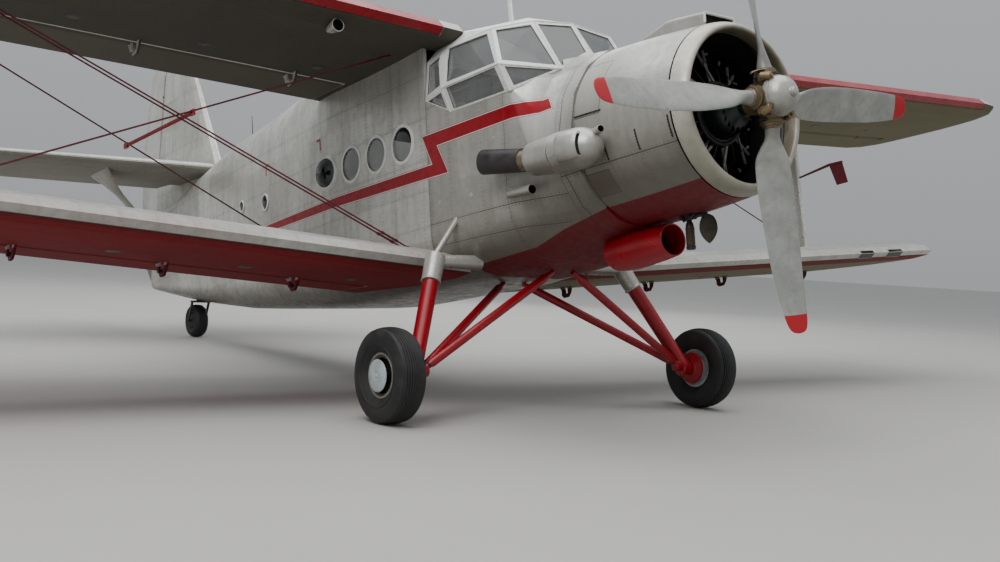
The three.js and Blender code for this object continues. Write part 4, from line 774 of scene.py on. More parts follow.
# Pairs whose sides differ: to port and to starboard
UNLIKE_FINISHES = {
    "upper_wing": ("wing_port", "wing_starboard"), "aileron": ("wing_port", "wing_starboard"),
    "upper_flap": ("flap_port", "flap"), "lower_wing": ("low_khaki", "low_red"),
    "lower_flap": ("low_khaki", "low_red"),
}
for node, key in FINISHES.items():
    dress(node, key)
for index, (side, sign) in enumerate(SIDES):
    for node, key in PAIR_FINISHES.items():
        dress(node + "_" + side, key)
    for node, keys in UNLIKE_FINISHES.items():
        dress(node + "_" + side, keys[index])
for number in range(1, 5):
    dress("propeller_blade_%d" % number, "blade")
for node in ("fuselage_nose", "fuselage_cabin", "fuselage_tail"):
    soften(node)


# Engine: nine finned cylinders round a dark crankcase
# Outlines are turned about an axis; their columns are the distance along it and the radius
ENGINE = {"station": 0.80, "cylinders": 9, "bolts": 18, "bolt_circle": 0.222}
CRANKCASE = ((-0.200, 0.055), (-0.235, 0.06), (-0.24, 0.09), (-0.275, 0.105), (-0.30, 0.135),
             (-0.325, 0.165), (-0.345, 0.185), (-0.42, 0.205), (-0.49, 0.215), (-0.495, 0.228),
             (-0.535, 0.232), (-0.54, 0.222), (-0.64, 0.285), (-1.0, 0.285), (-1.1, 0.24), (-1.36, 0.24))
# Fins of the barrel and of the head, columns: where they end, radius of the groove, radius of the fin
FINS = ((0.545, 0.080, 0.110), (0.635, 0.095, 0.126))
FIN = {"first": 0.30, "pitch": 0.0125, "step": 0.003}
ROCKER_BOX = ((0, 0.045), (0.03, 0.045), (0.045, 0.038), (0.048, 0.0))
HARNESS = {"station": 0.50, "radius": 0.248, "tube": 0.0155}
BAFFLE = ((-0.93, 0.24), (-0.93, 0.672), (-0.44, 0.672), (-0.44, 0.668), (-0.92, 0.665), (-0.925, 0.24))


def cylinder_outline():
    outline = [(0.27, 0.092)]
    r, step = FIN["first"], FIN["step"]
    for end, groove, fin in FINS:
        while r < end:
            outline += [(r, groove), (r + step, fin), (r + 2 * step, fin), (r + 3 * step, groove)]
            r += FIN["pitch"]
    return outline + [(r, FINS[-1][1]), (0.655, 0.08), (0.662, 0.0)]


def clock(radius, turn, s=ENGINE["station"]):
    """A place on the engine: its radius, its angle from the top and its station."""
    return A(s, radius * math.sin(turn), radius * math.cos(turn))


def engine():
    case = Form()
    case.turned(CRANKCASE, HUB, FORWARD, 48)
    for turn in turns(ENGINE["bolts"]):
        case.dome(clock(ENGINE["bolt_circle"], turn, 0.495), FORWARD, 0.010)
        case.block(clock(0.16, turn, 0.335), (0.05, 0.012, 0.05), (FORWARD, FORWARD.cross(PORT), UPWARD))
    case.make("crankcase", "case")

    cylinders = Form()
    rods = Form()
    station = ENGINE["station"]
    for turn in turns(ENGINE["cylinders"]):
        out = clock(1, turn, 0) - clock(0, turn, 0)
        around = FORWARD.cross(out)
        cylinders.turned(cylinder_outline(), A(station, 0, 0), out, 24)
        for aside in (-1, 1):
            base = clock(0.61, turn) + around * (0.066 * aside)
            cylinders.turned(ROCKER_BOX, base, out, 14)
            cylinders.block(base + FORWARD * 0.055, (0.10, 0.056, 0.05), (FORWARD, around, out))
            foot = clock(0.25, turn + 0.13 * aside, 0.545)
            head = clock(0.595, turn, station - 0.115) + around * (0.052 * aside)
            rods.tube([foot, head], 0.013, 10)
            rods.turned([(-0.016, 0.016), (0.016, 0.016)], foot, head - foot, 10, 1, caps=True)
            rods.turned([(-0.03, 0.015), (0.0, 0.015)], head, head - foot, 10, 1, caps=True)
            plug = clock(0.56, turn, 0.72) + around * (0.10 * aside)
            rods.tube([plug, plug + around * (0.03 * aside) + FORWARD * 0.03], 0.011, 8)
            lead = clock(HARNESS["radius"], turn + 0.17 * aside, HARNESS["station"])
            rods.tube([lead, clock(0.40, turn + 0.20 * aside, 0.56), plug], 0.0055, 6, 1)
    cylinders.make("engine_cylinders", "black", smooth=30, replaces="engine")
    tube = HARNESS["tube"]
    ring = [(tube * math.cos(t) - HARNESS["station"], tube * math.sin(t) + HARNESS["radius"])
            for t in turns(12)]
    rods.turned(ring + ring[:1], HUB, FORWARD, 60, 1)
    rods.make("pushrods_and_leads", "rod steel")

    # The baffles and the lining inside the cowl are near-black painted shade
    baffle = Form()
    baffle.turned(BAFFLE, HUB, FORWARD, 72, loop=True)
    for turn in turns(ENGINE["cylinders"]):
        turn += math.pi / ENGINE["cylinders"]
        out = clock(1, turn, 0) - clock(0, turn, 0)
        baffle.block(clock(0.46, turn), (0.14, 0.006, 0.34), (FORWARD, FORWARD.cross(out), out))
    baffle.make("engine_baffles", "dark")


# Cowl: a sand-coloured front ring, a black gap of painted shade and the skin panels with their dark latches
COWL_RING = [(-0.3625, 0.6965), (-0.345, 0.6945), (-0.318, 0.6890), (-0.292, 0.6830), (-0.268, 0.6745),
             (-0.245, 0.6625), (-0.2285, 0.6470), (-0.2225, 0.6315), (-0.2265, 0.6175), (-0.2420, 0.6085),
             (-0.2680, 0.6040), (-0.3000, 0.6035), (-0.3400, 0.6080)]
RING_REAR = [(-0.3625, 0.6120), (-0.3625, 0.6965)]
COWL_GAP = ((-0.350, 0.6100), (-0.350, 0.6740), (-0.400, 0.6740), (-0.400, 0.6640), (-0.360, 0.6100))
# The skin's outside, columns: station, radius; then its inside as an outline
COWL_SKIN = ((0.379, 0.6975), (0.60, 0.7205), (0.90, 0.7455), (1.20, 0.7655), (1.36, 0.7735))
COWL_INSIDE = [(-1.36, 0.752), (-1.30, 0.750), (-0.60, 0.702), (-0.383, 0.690), (-0.379, 0.6975)]
# Latch rows, columns: station, and the arcs where a row starts and ends
LATCHES = ((0.405, -0.115, -0.300), (0.735, -0.150, -0.320), (1.070, -0.178, -0.328))
LATCH_LIFT = 0.002


def cowl_place(station, arc, sign):
    """A place just off the cowl, with its axes: forward, around and outward."""
    turn = arc / COWL_ARC
    out = PORT * (sign * math.cos(turn)) + UPWARD * math.sin(turn)
    place = A(station, 0, 0) + out * (between(COWL_SKIN, station)[0] + LATCH_LIFT)
    return place, (FORWARD, out.cross(FORWARD), out)


def cowl():
    ring = Form()
    ring.turned(smoothed(COWL_RING, 3) + RING_REAR, HUB, FORWARD, 160)
    ring.make("cowl_front_ring", "ring", smooth=50, replaces="cowl_ring")

    gap = Form()
    gap.turned(COWL_GAP, HUB, FORWARD, 160, loop=True)
    gap.make("cowl_gap_seal", "dark")

    panels = Form()
    outside = smoothed([(-s, radius) for s, radius in COWL_SKIN], 4)
    panels.turned(outside + COWL_INSIDE, HUB, FORWARD, 160)
    panels.make("cowl_skin_panels", "cowl", smooth=30, replaces="cowl_panels")

    latch = Form()
    for _, sign in SIDES:
        for station, high, low in LATCHES:
            count = 7
            for k in range(count):
                place, axes = cowl_place(station, high + (low - high) * (k + 0.5) / count, sign)
                latch.block(place, (0.008, abs(high - low) / count + 0.002, 0.006), axes)
                latch.block(place + axes[2] * 0.003, (0.014, 0.010, 0.006), axes)
        for k in range(6):
            place, axes = cowl_place(1.09 + 0.05 * k, 0.078, sign)
            latch.block(place, (0.052, 0.014, 0.006), axes)
    latch.make("cowl_latches", "steel")


# Propeller: a spider with four sockets, a domed nose, cuffs, counterweights and the blades
SPIDER = ((-0.195, 0.085), (-0.11, 0.105), (-0.03, 0.13), (0.03, 0.135), (0.060, 0.128), (0.07, 0.115))
NOSE_DOME = ((0.062, 0.10), (0.064, 0.150), (0.072, 0.157), (0.099, 0.158), (0.101, 0.152), (0.132, 0.150),
             (0.168, 0.138), (0.199, 0.113), (0.218, 0.082), (0.226, 0.052), (0.230, 0.040), (0.236, 0.037),
             (0.238, 0.041), (0.244, 0.041), (0.247, 0.034), (0.259, 0.031), (0.263, 0.020), (0.264, 0.0))
DOME_BAND = ((0.115, 0.1525), (0.115, 0.157), (0.121, 0.157), (0.121, 0.1525))
SOCKET = ((0.07, 0.088), (0.140, 0.088), (0.143, 0.098), (0.160, 0.098), (0.163, 0.088))
CUFF = ((0.162, 0.086), (0.176, 0.086), (0.179, 0.094), (0.192, 0.094), (0.195, 0.084), (0.2145, 0.080),
        (0.2145, 0.0))
CUFF_COLLAR = ((0.2155, 0.0), (0.2155, 0.072), (0.228, 0.068), (0.234, 0.060), (0.236, 0.0))
WEIGHT = ((-0.040, 0.0), (-0.040, 0.032), (0.036, 0.032), (0.042, 0.026), (0.042, 0.0))
LEAF_BLADE = 3
# The leaf-shaped arm, columns: distance along the arm, half width, drop
LEAF_ARM = ((-0.11, 0.010, 0.0), (-0.05, 0.030, 0.004), (0.03, 0.038, 0.006), (0.11, 0.034, 0.002),
            (0.165, 0.024, -0.010), (0.195, 0.010, -0.022))
# A blade, columns: radius, chord, thickness, angle from the disc in degrees, shift to the rear edge
BLADE_ROWS = (
    (0.2160, 0.122, 0.122, 40, 0.0), (0.30, 0.118, 0.100, 40, -0.003), (0.37, 0.178, 0.076, 39, -0.012),
    (0.46, 0.250, 0.055, 38, -0.016), (0.60, 0.278, 0.046, 34, -0.010), (0.80, 0.288, 0.038, 28, -0.003),
    (1.08, 0.280, 0.028, 23, 0.002), (1.30, 0.265, 0.023, 20, 0.0), (1.50, 0.240, 0.018, 17, 0.0),
    (1.64, 0.210, 0.014, 16, 0.0), (1.72, 0.184, 0.011, 15, 0.0), (1.765, 0.146, 0.009, 15, 0.0),
    (1.786, 0.096, 0.007, 15, 0.0), (1.7955, 0.026, 0.004, 15, 0.0),
)
BLADE_SWEEP = {"most": 0.048, "root": 0.216, "span": 1.58}


def propeller():
    hub = Form()
    hub.turned(SPIDER, HUB, FORWARD, 36, caps=True)
    dome = Form()
    dome.turned(NOSE_DOME, HUB, FORWARD, 48)
    dome.turned(DOME_BAND, HUB, FORWARD, 48)
    dome.make("propeller_dome", "silver", body="propeller", smooth=30)
    cuffs = Form()
    lumps = Form()

    for number in range(1, 5):
        node = "propeller_blade_%d" % number
        low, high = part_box(node)
        out = ((low + high) / 2 - HUB)
        out = (out - FORWARD * out.dot(FORWARD)).normalized()
        back = out.cross(FORWARD)
        hub.turned(SOCKET, HUB, out, 28)
        cuffs.turned(CUFF, HUB, out, 28)
        cuffs.turned(CUFF_COLLAR, HUB, out, 24)
        for aside in (-0.093, 0.093):
            lumps.drum(-0.030, 0.030, 0.015, HUB + out * 0.160 + back * aside, FORWARD, 6)
        weight = HUB + out * 0.150 - back * 0.105 + FORWARD * 0.085
        hub.block(weight - FORWARD * 0.035, (0.05, 0.055, 0.06), (FORWARD, back, out))
        lean = (FORWARD + back * 0.35 - out * 0.2).normalized()
        lumps.turned(WEIGHT, weight, lean, 16, 1)
        lumps.drum(0.040, 0.056, 0.014, weight, lean, 6, 1)
        blade(node, out, back)
        if number == LEAF_BLADE:
            leaf_arm(hub, out, back)
    lumps.make("propeller_counterweights", "steel bronze", body="propeller", smooth=35)
    cuffs.make("blade_root_cuffs", "cuff", body="propeller", smooth=35)
    hub.make("propeller_spider", "bronze", body="propeller", smooth=35,
             replaces="propeller_hub")


def leaf_arm(form, out, back):
    """A leaf-shaped arm that stands out beside one blade's root."""
    base = HUB + out * 0.205 + FORWARD * 0.02
    rings = []
    for along, half, drop in smoothed(LEAF_ARM, 3):
        middle = base - back * along + out * drop
        rings.append([middle + FORWARD * (half * math.cos(t)) + out * (0.008 * math.sin(t))
                      for t in turns(12)])
    form.rings(rings)


def blade(node, out, back):
    form = Form()
    rings = []
    for radius, chord, thickness, degrees, shift in smoothed(BLADE_ROWS, 4):
        pitch = math.radians(degrees)
        share = min(1.0, max(0.0, (radius - BLADE_SWEEP["root"]) / BLADE_SWEEP["span"]))
        middle = HUB + out * radius - FORWARD * (BLADE_SWEEP["most"] * math.sin(math.pi * share) ** 0.8)
        along = FORWARD * math.sin(pitch) - back * math.cos(pitch)
        across = FORWARD * math.cos(pitch) + back * math.sin(pitch)
        # Round at the root, flat behind further out
        hollow = 0.45 + 0.55 * max(0.0, min(1.0, (0.4 - radius) / 0.15))
        rings.append([middle + along * (shift + chord / 2 * math.cos(t))
                      + across * (thickness / 2 * (1.0 if math.sin(t) > 0 else hollow) * math.sin(t))
                      for t in turns(24)])
    form.rings(rings)
    form.make(node.replace("propeller_", ""), "blade", body="propeller", smooth=50,
              replaces=node)


engine()
cowl()
propeller()


# Wheels: grooved main tyres on rims with a shallow cap, and the tail wheel
MAIN_TYRE = {"radius": 0.3991, "half": 0.130, "rim": 0.190, "groove": 0.007, "ribs": 4}
RIM_EDGE = MAIN_TYRE["rim"] - 0.0006
RIM_FLANGE = ((0.0, RIM_EDGE), (0.086, RIM_EDGE), (0.091, 0.184), (0.090, 0.176), (0.083, 0.166),
              (0.070, 0.162))
RIM_WELL = ((0.070, 0.162), (0.020, 0.156), (0.020, 0.060), (0.104, 0.060), (0.108, 0.126))
RIM_CAP = ((0.108, 0.126), (0.111, 0.1335), (0.116, 0.1345), (0.120, 0.130), (0.125, 0.108), (0.130, 0.075),
           (0.133, 0.044), (0.131, 0.037), (0.128, 0.030), (0.128, 0.018), (0.133, 0.014), (0.1335, 0.0))
RIM_INNER = ((0.0, RIM_EDGE), (-0.088, RIM_EDGE), (-0.082, 0.170), (-0.062, 0.166), (-0.060, 0.120),
             (-0.094, 0.085), (-0.095, 0.043), (0.0, 0.043))
# Half of the tail wheel's tyre and of its hub
TAIL_TYRE = [(0.055, 0.110), (0.085, 0.135), (0.099, 0.170), (0.088, 0.206), (0.056, 0.2295),
             (0.050, 0.2300), (0.044, 0.2245), (0.038, 0.2245), (0.033, 0.2325), (0.013, 0.2345),
             (0.011, 0.2285)]
TAIL_HUB = [(-0.058, 0.108), (-0.090, 0.048), (-0.090, 0.0186)]


def both_ways(half):
    """An outline and its mirror image, in one run."""
    return half + [(-d, r) for d, r in half[::-1]]


def main_tyre(side, centre, axis):
    half, top, rim = MAIN_TYRE["half"], MAIN_TYRE["radius"], MAIN_TYRE["rim"]
    deep, ribs = MAIN_TYRE["groove"], MAIN_TYRE["ribs"]
    flank = [(half * 0.64, rim), (half * 0.72, rim + 0.012), (half * 0.93, rim + 0.05), (half, rim + 0.095),
             (half * 0.985, rim + 0.13), (half * 0.92, top - 0.045), (half * 0.84, top - 0.022)]
    crown = []
    for k in range(-ribs, ribs + 1):
        y = k * half * 0.165
        r = top - 0.020 * (y / (half * 0.8)) ** 2
        crown += [(y - 0.0075, r), (y - 0.0045, r - 0.001)]
        if k < ribs:
            crown += [(y + 0.0095, r - 0.001), (y + 0.0105, r - 0.001 - deep),
                      (y + 0.0130, r - 0.001 - deep)]
    profile = [(-d, r) for d, r in flank] + crown + flank[::-1]
    form = Form()
    form.turned(profile + profile[:1], centre, axis, 96)
    for d in (half * 0.975, half * 0.93):
        form.turned([(d - 0.003, rim + 0.062), (d + 0.003, rim + 0.066), (d + 0.003, rim + 0.070),
                     (d - 0.003, rim + 0.074)], centre, axis, 96)
    form.make("main_tyre_tread_" + side, "tyre", body="wheel_" + side, smooth=38,
              replaces="main_tyre_" + side)


def main_rim(side, centre, axis):
    hub = Form()
    hub.turned(RIM_FLANGE, centre, axis, 64, 1)
    # Painted shade: the rim's well is near-black
    hub.turned(RIM_WELL, centre, axis, 64, 2)
    hub.turned(RIM_CAP, centre, axis, 64)
    hub.turned(RIM_INNER, centre, axis, 64)
    for t in turns(28):
        out = FORWARD * math.cos(t) + UPWARD * math.sin(t)
        axes = (axis.cross(out), out, axis)
        hub.block(centre + axis * 0.066 + out * 0.156, (0.010, 0.012, 0.016), axes, 1)
    hub.make("main_hub_cap_" + side, "hub_blue rim_grey dark", body="wheel_" + side,
             smooth=40, replaces="main_rim_" + side)


def wheels():
    for side, sign in SIDES:
        centre = Vector(JOINTS["wheel_spin_" + side]["pos_m"])
        main_tyre(side, centre, PORT * sign)
        main_rim(side, centre, PORT * sign)
    centre = Vector(JOINTS["tail_wheel_spin"]["pos_m"])
    tyre, hub = both_ways(TAIL_TYRE), both_ways(TAIL_HUB)
    form = Form()
    form.turned(tyre, centre, PORT, 64)
    form.turned(tyre[-1:] + hub + tyre[:1], centre, PORT, 64, 1)
    form.make("tail_wheel_tread", "tyre steel", body="tail_wheel", smooth=38,
              replaces="tail_wheel")


wheels()


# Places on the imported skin, to set details on it
def surface(*nodes):
    verts, faces = [], []
    for node in nodes:
        mesh = NODES[node].data
        base = len(verts)
        verts += [v.co.copy() for v in mesh.vertices]
        faces += [[base + i for i in p.vertices] for p in mesh.polygons]
    return BVHTree.FromPolygons(verts, faces)


SKIN = surface("fuselage_nose", "fuselage_cabin", "fuselage_tail", "cowl_panels", "cargo_door",
               "passenger_door")


def on_skin(start, direction, tree=SKIN):
    """The first place a line meets, and the outward normal there."""
    place, normal, _, _ = tree.ray_cast(start, direction)
    return place, normal if normal.dot(direction) < 0 else -normal


def on_flank(s, z, sign):
    return on_skin(A(s, 1.6 * sign, z), PORT * -sign)


def flank_axes(normal):
    """Level and upward directions in the skin's own plane."""
    rise = (UPWARD - normal * UPWARD.dot(normal)).normalized()
    return rise.cross(normal), rise


def flank_seat(s, z, sign, reach):
    """The middle and the normal of the skin round an opening in a flank."""
    fore, aft = on_flank(s - reach, z, sign)[0], on_flank(s + reach, z, sign)[0]
    low, high = on_flank(s, z - reach, sign)[0], on_flank(s, z + reach, sign)[0]
    normal = (aft - fore).cross(high - low).normalized()
    if normal.dot(PORT * sign) < 0:
        normal = -normal
    return (fore + aft + low + high) / 4, normal


def pipe_mouth(form, start, end, radius, wall, deep=0.06):
    """A tube from start to its open end, with a near-black bottom inside as painted shade."""
    axis = (end - start).normalized()
    reach = (end - start).length
    form.turned([(0.0, radius[0]), (reach - 0.004, radius[1]), (reach, radius[1] - wall * 0.4),
                 (reach, radius[1] - wall)], start, axis, 28)
    form.turned([(reach, radius[1] - wall), (reach - deep, radius[1] - wall), (reach - deep, 0.0)],
                start, axis, 28, 1)


# Exhaust: a domed shroud with a raised air hood, a tan joint and the dark outlet pipe
SHROUD = {"front": A(0.985, -0.853, -0.222), "rear": A(1.715, -0.941, -0.211),
          "end": A(2.330, -1.000, -0.114)}
# Outlines, columns: distance along the shroud, radius
DRUM = [(0.0, 0.001), (0.003, 0.028), (0.015, 0.062), (0.035, 0.092), (0.062, 0.117), (0.095, 0.138),
        (0.135, 0.155), (0.185, 0.166), (0.24, 0.1685), (0.425, 0.1675)]
DRUM_EDGE = ((0.425, 0.1675), (0.426, 0.1650), (0.4260, 0.150))
DRUM_GAP = ((0.425, 0.1580), (0.438, 0.1580))
DRUM_REAR = ((0.438, 0.150), (0.438, 0.1605), (0.440, 0.1625), (0.57, 0.1515), (0.715, 0.1375),
             (0.727, 0.1345), (0.732, 0.1290), (0.728, 0.1000))
HOOD = {"front": 0.105, "full": 0.27, "rear": 0.330, "half_turn": 0.74, "lift": 0.036, "slot_turn": 0.60}
PIPE_JOINT = 0.105
# The outlet pipe's end is cut on a slant
OUTLET = {"slant": 0.05, "wall": 0.101}
# The two breathers: foot and mouth; a boss on the first, a cap on the second
BREATHERS = ((A(1.13, -0.815, -0.120), A(0.938, -0.880, -0.115)),
             (A(2.129, -0.862, -0.417), A(1.797, -0.892, -0.438)))
BREATHER_BOSS = ((-0.02, 0.046), (0.02, 0.040), (0.035, 0.034))
BREATHER_CAP = ((0.0, 0.038), (-0.02, 0.033), (-0.034, 0.016), (-0.036, 0.0))


def outboard_axes(start, end):
    """The direction from start to end, with the outboard direction square to it."""
    along = (end - start).normalized()
    return along, (-PORT + along * PORT.dot(along)).normalized()


def shroud_skin(t, turn, lift=0.0):
    """A place on the shroud: the distance along it, the angle from outboard and the height above it."""
    along, out = outboard_axes(SHROUD["front"], SHROUD["rear"])
    up = out.cross(along)
    up = up if up.z > 0 else -up
    radius = between(DRUM, t)[0] + lift
    return SHROUD["front"] + along * t + (out * math.cos(turn) + up * math.sin(turn)) * radius


def shroud_rivet(form, t, turn, radius, lift=0.0):
    form.dome(shroud_skin(t, turn, lift), shroud_skin(t, turn, 1) - shroud_skin(t, turn), radius)


def air_hood(form):
    """A raised patch on the shroud, rounded behind, with a near-black slot in front as painted shade."""
    steps, parts = 18, 26
    rings = []
    for i in range(steps + 1):
        t = HOOD["front"] + (HOOD["rear"] - HOOD["front"]) * i / steps
        tail = max(0.0, (t - HOOD["full"]) / (HOOD["rear"] - HOOD["full"]))
        half = HOOD["half_turn"] * (1 - 0.30 * tail ** 3)
        high = HOOD["lift"] * math.sqrt(max(0.0, 1 - tail ** 3))
        shares = [-1 + 2 * k / parts for k in range(parts + 1)]
        rings.append([shroud_skin(t, half * share, high * (1 - abs(share) ** 7) ** 0.5) for share in shares]
                     + [shroud_skin(t, -half * share, -0.012) for share in shares])
    form.rings(rings)
    count = 18
    shares = [-1 + 2 * k / count for k in range(count + 1)]
    half = HOOD["slot_turn"]
    form.rings([[shroud_skin(t, half * share, 0.003 + (HOOD["lift"] - 0.006) * (1 - abs(share) ** 6) ** 0.5)
                 for share in shares] + [shroud_skin(t, -half * share, 0.001) for share in shares]
                for t in (HOOD["front"] - 0.0015, HOOD["front"] + 0.004)], 1)


def exhaust_shroud():
    front, rear = SHROUD["front"], SHROUD["rear"]
    shroud = Form()
    shroud.turned(smoothed(DRUM, 3), front, rear - front, 64)
    shroud.turned(DRUM_EDGE, front, rear - front, 64)
    # Painted shade: the gap ring between the drum and its rear part is near-black
    shroud.turned(DRUM_GAP, front, rear - front, 64, 1)
    shroud.turned(DRUM_REAR, front, rear - front, 64)
    air_hood(shroud)
    for turn in turns(40):
        shroud_rivet(shroud, 0.405, turn, 0.0042)
        if abs(math.atan2(math.sin(turn), math.cos(turn))) < 1.1:
            shroud_rivet(shroud, 0.350, turn, 0.0042)
    for k in range(9):
        t = 0.115 + 0.024 * k
        for turn in (-0.86, 0.86):
            shroud_rivet(shroud, t, turn, 0.0038)
        for turn in (-0.40, 0.10, 0.42):
            shroud_rivet(shroud, t, turn, 0.0034, HOOD["lift"])
    shroud.make("exhaust_shroud", "silver dark", smooth=38)


def outlet_pipe():
    rear, end = SHROUD["rear"], SHROUD["end"]
    line, outboard = outboard_axes(rear, end)
    third = outboard.cross(line)
    reach = (end - rear).length
    joint, slant, wall = PIPE_JOINT, OUTLET["slant"], OUTLET["wall"]

    def section(at, radius, cut=0.0):
        """A ring of the pipe, cut back on its outboard side."""
        ring = []
        for turn in turns(48):
            place = rear + line * (at - cut * (1 + math.cos(turn)) / 2)
            ring.append(place + (outboard * math.cos(turn) + third * math.sin(turn)) * radius)
        return ring

    pipe = Form()
    pipe.turned([(-0.10, 0.088), (joint, 0.0885), (joint, 0.095)], rear, line, 48, 1)
    pipe.turned([(0.012, 0.0905), (0.020, 0.0925), (0.028, 0.0905)], rear, line, 48, 1)
    pipe.rings([section(joint, 0.090), section(joint + 0.002, 0.0985), section(joint + 0.02, 0.0995),
                section(reach - 0.20, 0.105), section(reach - 0.004, 0.1085, slant),
                section(reach, 0.107, slant), section(reach, wall, slant)], caps=False)
    # Painted shade: the near-black lining inside the outlet's mouth
    pipe.rings([section(reach, wall, slant), section(reach - 0.22, 0.096), section(reach - 0.30, 0.001)], 2,
               caps=False)
    pipe.make("exhaust_outlet_pipe", "soot brown dark", smooth=35, replaces="exhaust_pipe")


def breather_pipes():
    small = Form()
    (foot, mouth), (low_foot, low_mouth) = BREATHERS
    pipe_mouth(small, foot, mouth, (0.034, 0.031), 0.005)
    small.turned(BREATHER_BOSS, A(1.10, -0.826, -0.119), mouth - foot, 28)
    pipe_mouth(small, low_foot, low_mouth, (0.038, 0.043), 0.005, deep=0.09)
    small.turned(BREATHER_CAP, low_foot, low_mouth - low_foot, 24)
    high, low = on_flank(1.90, -0.395, -1)[0], on_flank(2.16, -0.37, -1)[0]
    small.tube([high - PORT * 0.008, low - PORT * 0.008], 0.022, 10)
    small.make("breather_pipes", "silver dark", smooth=40)


exhaust_shroud()
outlet_pipe()
breather_pipes()


# Landing gear: red legs with silver cuffs, two braces and a stay on each side
GEAR = {
    "top": (2.920, 1.130, -0.900), "foot": (2.608, 1.610, -1.905), "inboard": (2.900, 0.650, -0.900),
    "stay_top": (2.975, 0.790, -0.450), "stay_foot": (2.940, 1.120, -0.860),
    "brace_foot": (2.610, 1.540, -1.885), "brace_boss": (2.610, 1.520, -1.885),
    "brace_heads": ((2.500, 0.100, -1.000), (3.250, 0.100, -1.020)),
    "wheel": (2.610, 1.845, -1.913),
}
LEG_CUFF = ((-0.040, 0.060), (-0.046, 0.092), (0.0, 0.0915), (0.205, 0.0850), (0.210, 0.0885),
            (0.226, 0.0880), (0.231, 0.0840), (0.231, 0.070))
AXLE = ((-0.300, 0.0), (-0.300, 0.060), (-0.290, 0.074), (-0.175, 0.062), (-0.155, 0.055),
        (-0.150, 0.042), (0.080, 0.042), (0.084, 0.038), (0.084, 0.0))
BRAKE_PLATE = ((-0.175, 0.0), (-0.172, 0.075), (-0.160, 0.090), (-0.152, 0.140), (-0.146, 0.152),
               (-0.128, 0.156), (-0.120, 0.150), (-0.120, 0.0))
BRACE_BOSS = ((-0.050, 0.0), (-0.050, 0.040), (-0.040, 0.050), (0.020, 0.050), (0.020, 0.0))
BRACE_COLLAR = ((0.085, 0.0245), (0.090, 0.029), (0.115, 0.029), (0.118, 0.0245))


def main_leg(side, sign):
    top, foot = sided(GEAR["top"], sign), sided(GEAR["foot"], sign)
    along = (foot - top).normalized()
    reach = (foot - top).length
    leg = Form()
    leg.turned(LEG_CUFF, top, along, 40, 1)
    leg.turned([(0.225, 0.0715), (reach - 0.10, 0.0665), (reach - 0.09, 0.0695), (reach - 0.01, 0.0690),
                (reach, 0.0600), (reach, 0.0)], top, along, 40)
    for radial in spokes(along, 8):
        leg.dome(top + along * 0.218 + radial * 0.088, radial, 0.006, 1)
    wheel = sided(GEAR["wheel"], sign)
    outward = PORT * sign
    leg.turned(AXLE, wheel, outward, 36)
    leg.turned(BRAKE_PLATE, wheel, outward, 48)
    for turn in turns(10):
        radial = FORWARD * math.cos(turn) + UPWARD * math.sin(turn)
        leg.dome(wheel - outward * 0.153 + radial * 0.118, -outward, 0.009, 2)
    leg.tube([top, sided(GEAR["inboard"], sign)], [0.060, 0.070], 28, 1)
    low, high = sided(GEAR["stay_foot"], sign), sided(GEAR["stay_top"], sign)
    rise = (high - low).normalized()
    span = (high - low).length
    leg.turned([(-0.02, 0.0), (-0.02, 0.020), (0.03, 0.0215), (0.06, 0.0275), (span - 0.06, 0.0275),
                (span - 0.03, 0.0200), (span, 0.0190), (span, 0.0)], low, rise, 24, 1)
    leg.drum(-0.05, 0.05, 0.030, high, FORWARD, 14, 1)
    # Brake line down the back of the leg
    back = FORWARD * -0.082
    points = [top + along * 0.26 + back, top + along * (reach * 0.6) + back, foot - along * 0.12 + back,
              wheel - outward * 0.20 + UPWARD * 0.09, wheel - outward * 0.160 + UPWARD * 0.105]
    leg.tube(points, 0.006, 8, 2)
    leg.make("main_leg_" + side, "red silver steel", smooth=35,
             replaces="gear_leg_" + side)


def brace_pair(side, sign):
    brace = Form()
    low = sided(GEAR["brace_foot"], sign)
    for head in GEAR["brace_heads"]:
        high = sided(head, sign)
        rise = (high - low).normalized()
        span = (high - low).length
        brace.turned([(0.02, 0.0), (0.02, 0.022), (0.09, 0.024), (0.13, 0.039), (span - 0.14, 0.039),
                      (span - 0.10, 0.024), (span - 0.02, 0.022), (span - 0.02, 0.0)], low, rise, 28)
        brace.turned(BRACE_COLLAR, low, rise, 20, 1)
    brace.turned(BRACE_BOSS, sided(GEAR["brace_boss"], sign), PORT * sign, 24)
    brace.make("gear_brace_pair_" + side, "red steel", smooth=35,
               replaces="gear_braces_" + side)


for side, sign in SIDES:
    main_leg(side, sign)
    brace_pair(side, sign)


# Cabin windows: round panes in riveted rings
WINDOW = {"z": 0.371, "radius": 0.165, "ring": 0.034, "seat": 0.045}
RING_RIVETS = {"pitch": 0.036, "radius": 0.0042}
CABIN_WINDOWS = (3.79, 4.28, 4.77)
# The blister's rings, columns: share of the window's radius, lift, tail
BLISTER = {
    "station": 5.26,
    "rim": ((1.20, -0.010, 0.62), (1.19, 0.008, 0.60), (1.13, 0.040, 0.40), (1.06, 0.068, 0.18),
            (1.00, 0.084, 0.04), (0.96, 0.086, 0.0), (0.945, 0.080, 0.0)),
    "glass": ((0.945, 0.078, 0.0), (0.75, 0.092, 0.0), (0.45, 0.102, 0.0), (0.02, 0.106, 0.0)),
}
DOOR_WINDOW = 6.275
# Small windows, columns: station, height, radius
SMALL_WINDOWS = ((7.025, 0.371, 0.085), (7.818, 0.461, 0.060))


